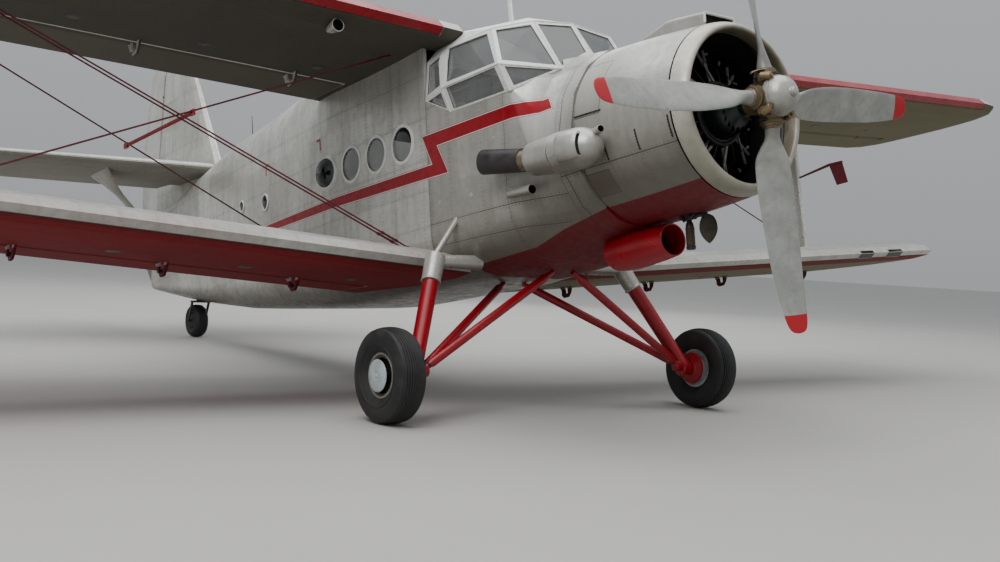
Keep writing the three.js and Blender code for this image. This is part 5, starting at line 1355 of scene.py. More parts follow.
def ring_and_pane(frames, panes, centre, normal, radius, width, slot=0):
    frames.turned([(-0.030, radius - 0.001), (0.004, radius - 0.001), (0.0075, radius + 0.002),
                   (0.0065, radius + width - 0.006), (0.0045, radius + width),
                   (-0.004, radius + width + 0.001)],
                  centre, normal, 64)
    frames.turned([(0.003, radius - 0.004), (0.0065, radius - 0.001)], centre, normal, 64, 1)
    panes.turned([(-0.008, radius), (-0.004, radius * 0.96), (0.001, radius * 0.7), (0.004, radius * 0.35),
                  (0.005, 0.0)], centre, normal, 64, slot)
    panes.turned([(-0.008, radius), (-0.014, radius * 0.96), (-0.012, 0.0)], centre, normal, 64, slot)
    for spoke in spokes(normal, int(2 * math.pi * radius / RING_RIVETS["pitch"])):
        spot = centre + spoke * (radius + width * 0.6)
        frames.dome(spot + normal * 0.006, normal, RING_RIVETS["radius"])


def round_windows():
    for label, body, stations, sign in (
            ("starboard", "airframe", CABIN_WINDOWS, -1), ("port", "airframe", CABIN_WINDOWS, 1),
            ("door", "passenger_door", (DOOR_WINDOW,), 1)):
        frames = Form()
        panes = Form()
        for index, s in enumerate(stations):
            centre, normal = flank_seat(s, WINDOW["z"], sign, WINDOW["radius"] + WINDOW["seat"])
            front = index == 0 and sign < 0
            ring_and_pane(frames, panes, centre, normal, WINDOW["radius"], WINDOW["ring"], int(front))
        frames.make("window_rings_" + label, "frame steel", body=body, smooth=40)
        panes.make("window_panes_" + label, "pane pane_front", body=body, smooth=60)


def blister_window():
    """The rearmost starboard window bulges out as a teardrop, dark inside, pointed aft."""
    centre, normal = flank_seat(BLISTER["station"], WINDOW["z"], -1, WINDOW["radius"] + WINDOW["seat"])
    level = (FORWARD - normal * FORWARD.dot(normal)).normalized()
    rise = normal.cross(level)
    rise = rise if rise.z > 0 else -rise
    cover = Form()
    radius = WINDOW["radius"]

    def ring_at(share, lift, tail):
        """A ring whose rear half reaches aft by the tail and whose rear edge stands out furthest."""
        ring = []
        for turn in turns(56):
            fore, high = math.cos(turn), math.sin(turn)
            back = max(0.0, -fore)
            ring.append(centre + level * (radius * share * fore * (1 + tail * back ** 1.4))
                        + rise * (radius * share * high) + normal * (lift * (0.62 - 0.38 * fore) - 0.002))
        return ring

    cover.rings([ring_at(*row) for row in BLISTER["rim"]], caps=False)
    # Painted shade: the near-black glass stands in for the dark cabin behind it
    cover.rings([ring_at(*row) for row in BLISTER["glass"]], 1, caps=False)
    cover.make("blister_window", "frame black_glass", smooth=50)


def small_windows():
    frames = Form()
    panes = Form()
    for s, z, radius in SMALL_WINDOWS:
        centre, normal = flank_seat(s, z, -1, radius + 0.02)
        ring_and_pane(frames, panes, centre + normal * 0.009, normal, radius, 0.018)
    frames.make("small_window_rings", "frame steel", smooth=40)
    # Painted shade: the near-black panes stand in for the dark cabin behind them
    panes.make("small_window_panes", "black_glass", smooth=60)


round_windows()
blister_window()
small_windows()


# Cockpit canopy: clear panes just under the bars, dark seals, rivets and bright rails
CANOPY = {
    "foot": (1.944, 0, 0.884), "foot_corner": (1.836, 0.460, 0.660), "brow": (2.175, 0, 1.237),
    "brow_corner": (2.180, 0.460, 1.190), "bulge_front": (2.130, 0.920, 0.720),
    "post_top": (2.500, 0.680, 1.180), "bulge_rear": (2.980, 0.920, 0.720),
    "roof_side": (3.190, 0.690, 1.190),
    "low_front": (2.090, 0.842, 0.480), "low_rear": (2.970, 0.842, 0.500), "back_low": (3.370, 0.842, 0.690),
    "back_high": (3.370, 0.800, 1.080),
}
CANOPY_HEART = (2.65, 0, 0.85)
# Bright rails along the bars, by their two ends
CANOPY_RAILS = (
    ("brow", "brow_corner"), ("brow_corner", "post_top"), ("foot_corner", "brow_corner"),
    ("bulge_front", "post_top"), ("bulge_front", "bulge_rear"), ("foot_corner", "bulge_front"),
    ("bulge_rear", "roof_side"), ("foot", "foot_corner"), ("foot", "brow"), ("post_top", "roof_side"),
    ("low_front", "bulge_front"), ("low_rear", "bulge_rear"),
)
# Panes: their corners and how far the bars reach over them
PANES = (
    (("foot", "foot_corner", "brow_corner", "brow"), 0.034),
    (("foot_corner", "bulge_front", "post_top", "brow_corner"), 0.038),
    (("foot_corner", "low_front", "bulge_front"), 0.040),
    (("bulge_front", "bulge_rear", "roof_side", "post_top"), 0.042),
    (("low_front", "low_rear", "bulge_rear", "bulge_front"), 0.042),
    (("bulge_rear", "back_low", "back_high", "roof_side"), 0.040),
    (("low_rear", "back_low", "bulge_rear"), 0.040),
)


def canopy():
    glazing = Form()
    trim = Form()
    for names, inset in PANES:
        for sign in (1, -1):
            corners = [sided(CANOPY[name], sign) for name in names]
            centre = sum(corners, Vector()) / len(corners)
            normal = (corners[1] - corners[0]).cross(corners[2] - corners[0]).normalized()
            if normal.dot(centre - A(*CANOPY_HEART)) < 0:
                normal = -normal
            opening = [p.lerp(centre, min(inset * 1.5 / (p - centre).length, 0.6)) for p in corners]
            outer = [p.lerp(centre, -0.01) - normal * 0.010 for p in opening]
            inner = [p - normal * 0.005 for p in outer]
            glazing.rings([outer, inner])
            for a, b in zip(opening, opening[1:] + opening[:1]):
                trim.tube([a - normal * 0.005, b - normal * 0.005], 0.0045, 6, 1)
            for a, b, c, d in zip(corners, corners[1:] + corners[:1], opening, opening[1:] + opening[:1]):
                first, last = a.lerp(c, 0.55), b.lerp(d, 0.55)
                count = max(2, int((last - first).length / 0.075))
                for k in range(count + 1):
                    trim.dome(first.lerp(last, k / count) + normal * 0.0005, normal, 0.0042, 2)
    glazing.make("canopy_panes", "glass", smooth=20, replaces="canopy_glazing")
    for a, b in CANOPY_RAILS:
        for sign in (1, -1):
            trim.tube([sided(CANOPY[a], sign), sided(CANOPY[b], sign)], 0.0070, 8)
            if CANOPY[a][1] == 0 and CANOPY[b][1] == 0:
                break
    trim.make("canopy_trim", "frame steel rivet", smooth=40)


canopy()


# Cockpit: two seats, control columns and the instrument panel on the deck
SEAT_Y = 0.39
# Dials, columns: y, z, radius
DIALS = [(y * sign, z, 0.042)
         for sign in (1, -1) for y in (0.20, 0.30, 0.40, 0.50) for z in (0.31, 0.20)]
DIALS += [(y, z, 0.036) for y in (-0.10, 0.0, 0.10) for z in (0.33, 0.24, 0.15)]
DIALS += [(y * sign, 0.10, 0.030) for sign in (1, -1) for y in (0.20, 0.29, 0.38, 0.47)]


def square(x):
    """Bends a circle's sine or cosine towards a rounded square."""
    return math.copysign(abs(x) ** 0.35, x)


def cushion(name, centre, size):
    """A rounded block with stitched rolls."""
    form = Form()
    rows = 24
    rings = []
    for i in range(1, rows):
        v = math.pi * i / rows
        ring = []
        for u in turns(20):
            point = Vector((square(math.cos(u)) * square(math.sin(v)) * size[0] / 2,
                            square(math.sin(u)) * square(math.sin(v)) * size[1] / 2,
                            square(math.cos(v)) * size[2] / 2))
            dent = 0.010 * math.cos(point.y / size[1] * math.pi * 5)
            point.z += dent * (1 if point.z > 0 else -1) * 0.35
            ring.append(centre - FORWARD * point.x + PORT * point.y + UPWARD * point.z)
        rings.append(ring)
    form.rings(rings)
    piece = form.make(name, "seat", smooth=60)


def seat(deck, side, y):
    """A seat on four legs: its pan, its back with side wings and its cushions."""
    for s in (2.75, 3.14):
        for aside in (-0.17, 0.17):
            deck.tube([A(s, y + aside, -0.775), A(s, y + aside, -0.42)], 0.014, 10, 1)
    deck.block(A(2.95, y, -0.425), (0.44, 0.40, 0.03), slot=1)
    for aside in (-0.19, 0.19):
        deck.block(A(2.97, y + aside, -0.36), (0.34, 0.012, 0.13), slot=1)
    deck.block(A(3.172, y, 0.02), (0.016, 0.41, 0.80), slot=1)
    for aside in (-0.205, 0.205):
        deck.block(A(3.13, y + aside, 0.0), (0.09, 0.010, 0.74), slot=1)
    cushion("seat_cushion_" + side, A(2.93, y, -0.355), (0.38, 0.36, 0.10))
    cushion("seat_back_" + side, A(3.125, y, 0.02), (0.08, 0.36, 0.66))


def controls(deck, y):
    """A column with its yoke, and two pedals."""
    deck.tube([A(2.52, y, -0.765), A(2.56, y, -0.40), A(2.60, y, -0.12)], 0.022, 14, 1)
    hub = A(2.600, y, -0.10)
    rim = []
    for k in range(25):
        turn = math.radians(-150 + 300 * k / 24) + math.pi / 2
        rim.append(hub + PORT * (0.155 * math.cos(turn)) + UPWARD * (0.14 * math.sin(turn)))
    deck.tube(rim, 0.012, 10, 2)
    deck.tube([hub - PORT * 0.15, hub, hub + PORT * 0.15], 0.012, 10, 2)
    deck.tube([hub, hub - UPWARD * 0.13], 0.012, 10, 2)
    for aside in (-0.10, 0.10):
        deck.block(A(2.345, y + aside, -0.66), (0.015, 0.09, 0.15), slot=1)
        deck.tube([A(2.34, y + aside, -0.60), A(2.30, y + aside, -0.40)], 0.010, 8, 1)


def cockpit_deck():
    deck = Form()
    deck.block(A(2.75, 0, -0.78), (1.1, 1.12, 0.035))
    for k in range(8):
        deck.block(A(2.28 + 0.13 * k, 0, -0.760), (0.02, 1.08, 0.006), slot=1)
    for side, sign in SIDES:
        seat(deck, side, SEAT_Y * sign)
        controls(deck, SEAT_Y * sign)
    deck.block(A(2.44, 0, -0.42), (0.20, 0.24, 0.66), slot=1)
    for k, aside in enumerate((-0.06, 0.0, 0.06)):
        deck.tube([A(2.46, aside, -0.10), A(2.52, aside, 0.02)], 0.007, 8, 1)
        deck.dome(A(2.52, aside, 0.025), UPWARD, 0.018, 3 if k == 1 else 2)
    deck.make("cockpit_deck_and_frames", "interior steel panel red", smooth=35,
              bevel=0.003, replaces="cockpit_interior")


def instrument_panel():
    panel = Form()
    panel.block(A(2.275, 0, 0.02), (0.05, 1.15, 0.80))
    panel.block(A(2.325, 0, 0.432), (0.16, 1.16, 0.014))
    for y, z, radius in DIALS:
        spot = A(2.301, y, z)
        panel.turned([(0.0, radius), (-0.009, radius), (-0.009, radius - 0.005), (-0.005, radius - 0.006)],
                     spot, FORWARD, 24, 1)
        panel.turned([(-0.005, radius - 0.006), (-0.0045, 0.0)], spot, FORWARD, 24, 2)
        panel.block(spot - FORWARD * 0.0065 + UPWARD * radius * 0.3, (0.002, 0.003, radius * 0.9), slot=3)
    panel.make("instrument_panel", "panel steel dial frame", smooth=35)


cockpit_deck()
instrument_panel()


# Air intake on top of the cowl: mouth frame, inner vane and ribs along both sides
# Columns: station, half width, top
SCOOP_EDGE = ((0.425, 0.176, 0.790), (0.770, 0.172, 0.834), (0.860, 0.168, 0.838), (1.190, 0.130, 0.785))
SCOOP_MOUTH = {"station": 0.428, "half": 0.170, "foot_half": 0.172, "top": 0.780, "foot": 0.700,
               "bar": 0.0105}


def scoop():
    ribs = Form()
    mouth = SCOOP_MOUTH
    corner = [A(mouth["station"], mouth["half"] * sign, mouth["top"]) for sign in (1, -1)]
    foot = [A(mouth["station"], mouth["foot_half"] * sign, mouth["foot"]) for sign in (1, -1)]
    for a, b in ((corner[0], corner[1]), (corner[0], foot[0]), (corner[1], foot[1])):
        ribs.tube([a, b], mouth["bar"], 12, 3)
    ribs.block(A(0.52, 0, 0.745), (0.012, 0.320, 0.070), slot=1)
    ribs.block(A(0.47, 0, 0.722), (0.070, 0.318, 0.004), slot=1)
    ribs.block(A(0.455, 0, 0.740), (0.004, 0.322, 0.072), slot=1)
    for s in (0.500, 0.860, 1.020):
        half, top = between(SCOOP_EDGE, s)
        foot = math.sqrt(max(between(COWL_SKIN, s)[0] ** 2 - half ** 2, 0))
        middle, height = (foot + top - 0.03) / 2, top - 0.03 - foot
        for sign in (1, -1):
            ribs.block(A(s, (half + 0.0015) * sign, middle), (0.010, 0.005, height))
        ribs.block(A(s, 0, top + 0.0010), (0.010, 2 * half - 0.06, 0.004))
    for sign in (1, -1):
        count = 24
        for k in range(count):
            s = 0.46 + 0.70 * k / count
            half, top = between(SCOOP_EDGE, s)
            ribs.dome(A(s, (half - 0.030) * sign, top + 0.0005), UPWARD, 0.0042)
            ribs.dome(A(s, (half + 0.0005) * sign, top - 0.045), PORT * sign, 0.0038)
    ribs.make("intake_frame_and_ribs", "silver dark steel frame", smooth=40)


scoop()


# Under the nose: the oil cooler's shell, core and lip, a hanging canister and a leaf-shaped plate
# The shell, columns: station, half width, height of the middle, half height
DUCT = ((1.095, 0.148, -0.922, 0.138), (1.250, 0.168, -0.930, 0.152), (1.550, 0.185, -0.945, 0.165),
        (1.745, 0.182, -0.942, 0.160))
DUCT_WALL = 0.012
CANISTER = ((-0.125, 0.0), (-0.125, 0.032), (-0.118, 0.038), (-0.105, 0.037), (-0.098, 0.032),
            (-0.085, 0.037), (0.03, 0.037), (0.055, 0.036), (0.085, 0.030), (0.105, 0.020), (0.125, 0.018),
            (0.128, 0.0))
# The leaf-shaped plate, columns: height above its middle, half width
LEAF = ((0.125, 0.012), (0.105, 0.045), (0.07, 0.064), (0.03, 0.0725), (-0.01, 0.0715), (-0.05, 0.058),
        (-0.085, 0.036), (-0.108, 0.014), (-0.117, 0.003))


def duct_section(row, wall):
    s, half, z, high = row
    return [A(s, (half - wall) * math.cos(t), z + (high - wall) * math.sin(t)) for t in turns(64)]


def oil_cooler():
    duct = Form()
    outside = [duct_section(row, 0.0) for row in smoothed(DUCT, 4)]
    inside = [duct_section(row, DUCT_WALL) for row in smoothed(DUCT, 4)]
    duct.rings(outside + inside[::-1] + outside[:1], caps=False)
    duct.make("oil_cooler_shell", "red", smooth=50, replaces="oil_cooler_duct")
    core = Form()
    # Painted shade: the core's face inside the duct is near-black
    core.rings([duct_section((s, 0.170, -0.934, 0.154), 0.010) for s in (1.335, 1.345)])
    for k in range(-6, 7):
        half = 0.136 * math.sqrt(1 - (k / 7.2) ** 2)
        core.block(A(1.322, 0.022 * k, -0.935), (0.016, 0.004, 2 * half), slot=1)
    for k in range(-5, 6):
        half = 0.150 * math.sqrt(1 - (k / 7) ** 2)
        core.block(A(1.321, 0, -0.935 + 0.021 * k), (0.018, 2 * half, 0.004), slot=1)
    core.make("oil_cooler_core", "dark steel")


def oil_cooler_lip():
    lip = Form()
    rings = []
    for turn in turns(8):
        ring = []
        for around in turns(48):
            y, z = 0.141 * math.cos(around), -0.922 + 0.131 * math.sin(around)
            out = PORT * math.cos(around) + UPWARD * math.sin(around)
            ring.append(A(1.098, y, z) + out * (0.007 * math.cos(turn)) + FORWARD * (0.007 * math.sin(turn)))
        rings.append(ring)
    lip.rings(rings, caps=False, loop=True)
    lip.make("oil_cooler_lip", "red", smooth=50)


def canister():
    low = Form()
    hang = A(0.90, 0, -0.905)
    low.turned(CANISTER, hang, UPWARD, 40)
    low.turned([(-0.127, 0.0), (-0.127, 0.034), (-0.112, 0.0395), (-0.096, 0.0385), (-0.094, 0.034)],
               hang, UPWARD, 32, 1)
    low.turned([(0.035, 0.0375), (0.038, 0.0388), (0.043, 0.0388), (0.046, 0.0370)], hang, UPWARD, 32, 1)
    low.make("hanging_canister", "bottle steel", smooth=40)


def drain_fittings():
    fittings = Form()
    fittings.turned([(0.0, 0.026), (0.03, 0.030), (0.05, 0.022), (0.10, 0.018)], A(0.90, 0, -0.79),
                    UPWARD, 20)
    fittings.tube([A(0.98, -0.01, -0.765), A(0.90, 0, -0.780), A(0.84, 0.05, -0.755), A(0.78, 0.09, -0.752)],
                  0.017, 12)
    fittings.tube([A(0.96, -0.04, -0.74), A(0.93, -0.035, -0.80), A(0.88, -0.03, -0.79),
                   A(0.84, 0.0, -0.745)], 0.009, 10)
    for s, y in ((0.96, -0.02), (0.87, 0.03), (0.80, 0.07)):
        fittings.drum(-0.014, 0.014, 0.022, A(s, y, -0.765), PORT, 8)
    fittings.make("drain_fittings", "steel", smooth=40)


def leaf_plate():
    leaf = Form()
    middle = A(0.79, 0.10, -0.875)
    across = (PORT * 0.69 + FORWARD * 0.72).normalized()
    off = across.cross(UPWARD).normalized() * 0.003
    rings = []
    for z, half in smoothed(LEAF, 4):
        p = middle + UPWARD * z
        arm = across * half
        rings.append([p - arm, p - arm * 0.5 + off * 2, p + off * 3, p + arm * 0.5 + off * 2,
                      p + arm, p + arm * 0.5 - off, p, p - arm * 0.5 - off])
    leaf.rings(rings)
    leaf.make("leaf_plate", "leaf", smooth=60)


oil_cooler()
oil_cooler_lip()
canister()
drain_fittings()
leaf_plate()


# Rigging: turnbuckles, a spreader, the rear flying wire of each side and the port strut's probe
TURNBUCKLE = {"half": 0.10, "radius": 0.0145}
RIGGING = {
    "flying": ((3.572, 0.953, -0.703), (3.962, 5.183, 1.438)),
    "rear": ((4.700, 0.950, -0.860), (4.800, 5.200, 1.428)),
    "landing": ((3.700, 0.900, 1.250), (3.800, 5.200, -0.400)),
    "spreader": ((3.760, 3.000, 0.430), (4.753, 3.215, 0.330)),
}


def sleeves(form, start, end, shares):
    """Turnbuckles on a wire, at shares of its length."""
    half, radius = TURNBUCKLE["half"], TURNBUCKLE["radius"]
    near = [(half, 0.009), (half - 0.01, radius), (half - 0.035, radius), (half - 0.045, radius * 0.72)]
    profile = [(-d, r) for d, r in near] + near[::-1]
    for share in shares:
        form.turned(profile, start.lerp(end, share), end - start, 12, caps=True)


# The wide strut between the wings, columns: share of its height, half chord
STRUT = {"foot": (3.945, 5.300, -0.530), "head": (4.020, 5.300, 1.535), "half": 0.032}
STRUT_ROWS = ((0.0, 0.290), (0.022, 0.200), (0.050, 0.138), (0.095, 0.112), (0.24, 0.106), (0.76, 0.106),
              (0.87, 0.118), (0.93, 0.150), (0.97, 0.225), (1.0, 0.330))


def wing_struts():
    for side, sign in SIDES:
        foot, head = sided(STRUT["foot"], sign), sided(STRUT["head"], sign)
        roof = surface("upper_wing_" + side)
        floor = surface("lower_wing_" + side)
        strut = Form()
        rings = []
        for share, half in smoothed(STRUT_ROWS, 4):
            middle = foot.lerp(head, share)
            ring = []
            for turn in turns(28):
                point = middle + FORWARD * (half * math.cos(turn)) + PORT * (STRUT["half"] * math.sin(turn))
                if share < 0.2:
                    stop = floor.ray_cast(point + UPWARD * 0.5, -UPWARD)[0]
                    if stop and point.z < stop.z - 0.004:
                        point = stop - UPWARD * 0.004
                if share > 0.8:
                    stop = roof.ray_cast(point - UPWARD * 0.5, UPWARD)[0]
                    if stop and point.z > stop.z + 0.004:
                        point = stop + UPWARD * 0.004
                ring.append(point)
            rings.append(ring)
        strut.rings(rings)
        edge = [foot.lerp(head, share) + FORWARD * (half - 0.004) for share, half in smoothed(STRUT_ROWS, 4)
                if 0.03 < share < 0.97]
        strut.tube(edge, 0.0145, 12, 1)
        strut.make("interplane_strut_" + side, "silver strut_edge", smooth=45,
                   replaces="wing_strut_" + side)


wing_struts()


def rigging():
    for side, sign in SIDES:
        lines = Form()

        def ends(key):
            return [sided(point, sign) for point in RIGGING[key]]

        low, high = ends("flying")
        for aside in (-0.035, 0.035):
            sleeves(lines, low + FORWARD * aside, high + FORWARD * aside, (0.055, 0.945))
        low, high = ends("rear")
        lines.tube([low, high], 0.0075, 8)
        sleeves(lines, low, high, (0.06, 0.94))
        lines.block(low, (0.07, 0.012, 0.06))
        lines.block(high, (0.07, 0.012, 0.05))
        sleeves(lines, *ends("landing"), (0.06, 0.94))
        lines.tube(ends("spreader"), 0.0175, 14, 1)
        for end in ends("spreader"):
            lines.block(end, (0.075, 0.022, 0.05), slot=1)
        lines.make("rigging_details_" + side, "maroon red", smooth=40)


def strut_probe():
    """A probe with a plate on the port strut."""
    probe = Form()
    foot, bend = A(4.033, 5.300, 0.531), A(3.408, 5.300, 0.631)
    probe.tube([foot, foot.lerp(bend, 0.5), bend, A(3.211, 5.300, 0.634)], [0.010, 0.014, 0.018, 0.016], 12)
    plate = [A(3.408, 5.3, 0.631), A(3.211, 5.3, 0.634), A(3.148, 5.3, 0.365), A(3.313, 5.3, 0.357)]
    probe.rings([[p - PORT * 0.004 for p in plate], [p + PORT * 0.004 for p in plate]])
    for share in (0.0, 0.10):
        probe.drum(-0.015, 0.015, 0.024, foot.lerp(bend, share), bend - foot, 14)
    probe.make("strut_probe_port", "maroon", smooth=40)


rigging()
strut_probe()


# Wings: lamps, fuel caps, inspection discs and the pod under the starboard wing
def wing_point(level, sign, aft, y, z):
    """A point of a wing's own frame: aft of its leading edge, along its span, above its chord."""
    wing = WING_TABLE[level]
    i, d = wing["incidence"], wing["dihedral"]
    x1 = -aft * math.cos(i) - z * math.sin(i)
    z1 = -aft * math.sin(i) + z * math.cos(i)
    y2 = y * math.cos(d) - z1 * math.sin(d)
    z2 = y * math.sin(d) + z1 * math.cos(d)
    return A(wing["station"] - x1, sign * y2, wing["z"] + z2)


def wing_skin(level, share, top):
    wing = WING_TABLE[level]
    x, t, m, p = share, wing["thickness"], wing["camber"], 0.35
    thick = 5 * t * (0.2969 * math.sqrt(x) - 0.126 * x - 0.3516 * x * x + 0.2843 * x ** 3 - 0.1015 * x ** 4)
    mean = m / p ** 2 * (2 * p * x - x * x) if x < p else m / (1 - p) ** 2 * (1 - 2 * p + 2 * p * x - x * x)
    return wing["chord"] * (mean + thick if top else mean - thick)


FUEL_CAP = ((-0.01, 0.075), (0.004, 0.073), (0.006, 0.066), (0.006, 0.045), (0.014, 0.042), (0.015, 0.0))
# Inspection discs under the wings, columns: wing, distance behind its nose, places along the span
WING_DISCS = (
    ("upper", 1.35, (1.4, 2.6, 3.8, 5.0, 6.4, 7.6)),
    ("lower", 1.05, (1.3, 2.4, 3.6, 4.8, 6.0)),
)
DISC = ((-0.004, 0.066), (0.0015, 0.065), (0.003, 0.060), (0.003, 0.0))


def tip_lamp(side, sign):
    """The lamp at the lower wing's tip."""
    lamps = Form()
    spot = wing_point("lower", sign, 0.62, 7.10, 0.055)
    outward = (wing_point("lower", sign, 0.62, 7.3, 0.055) - spot).normalized()
    lamps.turned([(-0.06, 0.034), (-0.02, 0.034), (0.0, 0.030)], spot, outward, 20, 1)
    lamps.turned([(0.0, 0.028), (0.012, 0.024), (0.020, 0.012), (0.0215, 0.0)], spot, outward, 20)
    lamps.make("tip_lamp_" + side, "lamp_" + side + " silver", smooth=50)


def wing_caps(side, sign):
    """Fuel caps on the upper wing and inspection discs under both wings."""
    caps = Form()
    aft = 0.72
    z = wing_skin("upper", aft / WING_TABLE["upper"]["chord"], True)
    for y in (2.1, 3.4):
        spot = wing_point("upper", sign, aft, y, z)
        up = (wing_point("upper", sign, aft, y, z + 0.1) - spot).normalized()
        caps.turned(FUEL_CAP, spot, up, 24)
        caps.block(spot + up * 0.018, (0.07, 0.012, 0.010))
    for level, aft, ys in WING_DISCS:
        z = wing_skin(level, aft / WING_TABLE[level]["chord"], False)
        for y in ys:
            spot = wing_point(level, sign, aft, y, z)
            down = (wing_point(level, sign, aft, y, z - 0.1) - spot).normalized()
            caps.turned(DISC, spot, down, 24, 1)
    caps.make("wing_caps_" + side, "silver steel", smooth=40)


def landing_lamps():
    """Landing lamps behind flush dark glass in the port lower wing's nose."""
    lamps = Form()
    nose = surface("lower_wing_port")
    for y0, y1 in ((5.29, 5.56), (5.86, 6.16)):
        rows = []
        for i in range(9):
            h = 0.034 - 0.086 * i / 8
            row = []
            for k in range(7):
                y = y0 + (y1 - y0) * k / 6
                z = WING_TABLE["lower"]["z"] + y * math.tan(WING_TABLE["lower"]["dihedral"]) + h
                place, normal = on_skin(A(2.6, y, z), -FORWARD, nose)
                row.append(place + normal * 0.0016)
            rows.append(row)
        corners = [p for row in rows for p in row]
        faces = [(7 * i + k, 7 * i + k + 1, 7 * i + k + 8, 7 * i + k + 7)
                 for i in range(8) for k in range(6)]
        lamps.add(corners, faces)
        rim = rows[0] + [row[-1] for row in rows[1:]] + rows[-1][-2::-1] + [row[0] for row in rows[-2:0:-1]]
        lamps.tube(rim + rim[:1], 0.0035, 6, 1)
    lamps.make("landing_lamps", "black_glass silver", smooth=45)


def wing_pod():
    """The pod under the starboard upper wing: a bright cone with a near-black mouth of painted shade."""
    pod = Form()
    spot = A(3.30, -1.85, 1.235)
    pod.turned([(-0.10, 0.0), (-0.095, 0.022), (-0.05, 0.040), (0.02, 0.055), (0.07, 0.063), (0.085, 0.062),
                (0.085, 0.054)], spot, FORWARD, 32)
    pod.turned([(0.085, 0.054), (0.02, 0.045), (0.02, 0.0)], spot, FORWARD, 32, 1)
    pod.tube([spot, spot - FORWARD * 0.05 + UPWARD * 0.10], 0.014, 10)
    pod.make("wing_pod", "silver dark", smooth=40)


for side, sign in SIDES:
    tip_lamp(side, sign)
    wing_caps(side, sign)
landing_lamps()
wing_pod()


# Fuselage details: corner marks, antennas, door handles, covers and lifting eyes
# Corner marks of the exits, columns: side, station, height, direction along, direction down, arm lengths
MARKS = ((-1, 5.453, 0.779, 1, -1, 0.085, 0.120), (-1, 6.981, 0.802, -1, -1, 0.085, 0.120),
         (-1, 5.540, -0.500, 1, 1, 0.100, 0.170))
# Small round covers, columns: station, height, radius
COVERS = ((2.35, 0.12, 0.020), (2.72, -0.32, 0.026), (3.20, -0.30, 0.018), (4.50, -0.32, 0.022),
          (5.72, -0.30, 0.03), (7.35, -0.18, 0.026), (8.30, 0.30, 0.04), (9.05, 0.35, 0.04))
# Stations between which the port flank is door
DOOR_SPAN = (5.2, 6.9)


def exit_marks():
    marks = Form()
    for sign, s, z, along, down, width, height in MARKS:
        edges = ((along * width / 2, 0.0, width, 0.024), (0.0, down * height / 2, 0.024, height))
        for ds, dz, ws, wz in edges:
            count = 6
            for k in range(count):
                share = (k + 0.5) / count - 0.5
                ps = s + ds + (share * ws if ws > wz else 0.0)
                pz = z + dz + (share * wz if wz > ws else 0.0)
                place, normal = on_flank(ps, pz, sign)
                level, rise = flank_axes(normal)
                size = (ws / count * 1.05 if ws > wz else ws, wz / count * 1.05 if wz > ws else wz, 0.002)
                marks.block(place + normal * 0.0012, size, (level, rise, normal))
    marks.make("exit_corner_marks", "red")


def antennas():
    """A whip, a blade and a roof mast."""
    posts = Form()
    foot = A(8.711, 0, 1.475)
    posts.turned([(-0.02, 0.028), (0.02, 0.026), (0.035, 0.012)], foot, UPWARD, 16)
    posts.tube([foot, A(8.716, 0, 1.70), A(8.722, 0, 1.90)], [0.008, 0.006, 0.004], 8, 1)
    rings = []
    for share, s, half in ((0.0, 7.789, 0.075), (0.5, 7.83, 0.055), (1.0, 7.875, 0.030)):
        z = 1.50 + 0.23 * share
        rings.append([A(s + half * math.cos(t), 0.009 * math.sin(t), z) for t in turns(14)])
    posts.rings(rings)
    mast = A(3.05, 0, 1.47)
    posts.turned([(-0.03, 0.050), (0.02, 0.046), (0.035, 0.030)], mast, UPWARD, 20)
    rings = []
    for share, half, thick in ((0.0, 0.036, 0.018), (0.4, 0.032, 0.015), (1.0, 0.022, 0.010)):
        rings.append([A(3.05 + 0.04 * share + half * math.cos(t), thick * math.sin(t), 1.50 + 0.62 * share)
                      for t in turns(16)])
    posts.rings(rings)
    posts.make("antennas", "frame steel", smooth=45)


def door_fittings():
    """A drip rail above the cargo door, a handle and two grips."""
    rail = Form()
    for k in range(14):
        s = 5.32 + 0.104 * k
        a, na = on_flank(s, 0.775, 1)
        b, nb = on_flank(s + 0.104, 0.775, 1)
        rail.tube([a + na * 0.004, b + nb * 0.004], 0.006, 6)
    rail.make("door_drip_rail", "silver")
    handles = Form()
    place, normal = on_flank(6.52, 0.02, 1)
    level = flank_axes(normal)[0]
    handles.turned([(0.0, 0.030), (0.006, 0.029), (0.009, 0.024), (0.022, 0.014), (0.024, 0.0)],
                   place, normal, 20)
    handles.tube([place + normal * 0.022, place + normal * 0.026 + level * 0.06,
                  place + normal * 0.024 + level * 0.12], [0.011, 0.009, 0.007], 10)
    handles.make("passenger_door_handle", "bare", body="passenger_door", smooth=45)
    grips = Form()
    for s in (5.42, 6.72):
        place, normal = on_flank(s, -0.62 if s > 6 else -0.60, 1)
        level = flank_axes(normal)[0]
        grips.tube([place - level * 0.05 + normal * 0.002, place - level * 0.04 + normal * 0.024,
                    place + level * 0.04 + normal * 0.024, place + level * 0.05 + normal * 0.002], 0.006, 8)
    grips.make("cargo_door_grips", "bare", body="cargo_door", smooth=45)


def small_covers():
    """Small round covers on both flanks, none on the doors."""
    covers = Form()
    for s, z, radius in COVERS:
        for sign in (-1, 1):
            if sign > 0 and DOOR_SPAN[0] < s < DOOR_SPAN[1]:
                continue
            place, normal = on_flank(s, z, sign)
            covers.turned([(-0.002, radius), (0.0018, radius - 0.001), (0.003, radius - 0.004),
                           (0.003, 0.0)], place, normal, 20)
    covers.make("small_covers", "silver", smooth=40)


def lifting_eyes():
    """Two lifting eyes on the cabin's roof."""
    straps = Form()
    for s in (3.45, 4.60):
        straps.tube([A(s, -0.05, 1.505), A(s, -0.05, 1.545), A(s, 0.05, 1.545), A(s, 0.05, 1.505)], 0.010, 8)
    straps.make("lifting_eyes", "steel", smooth=45)


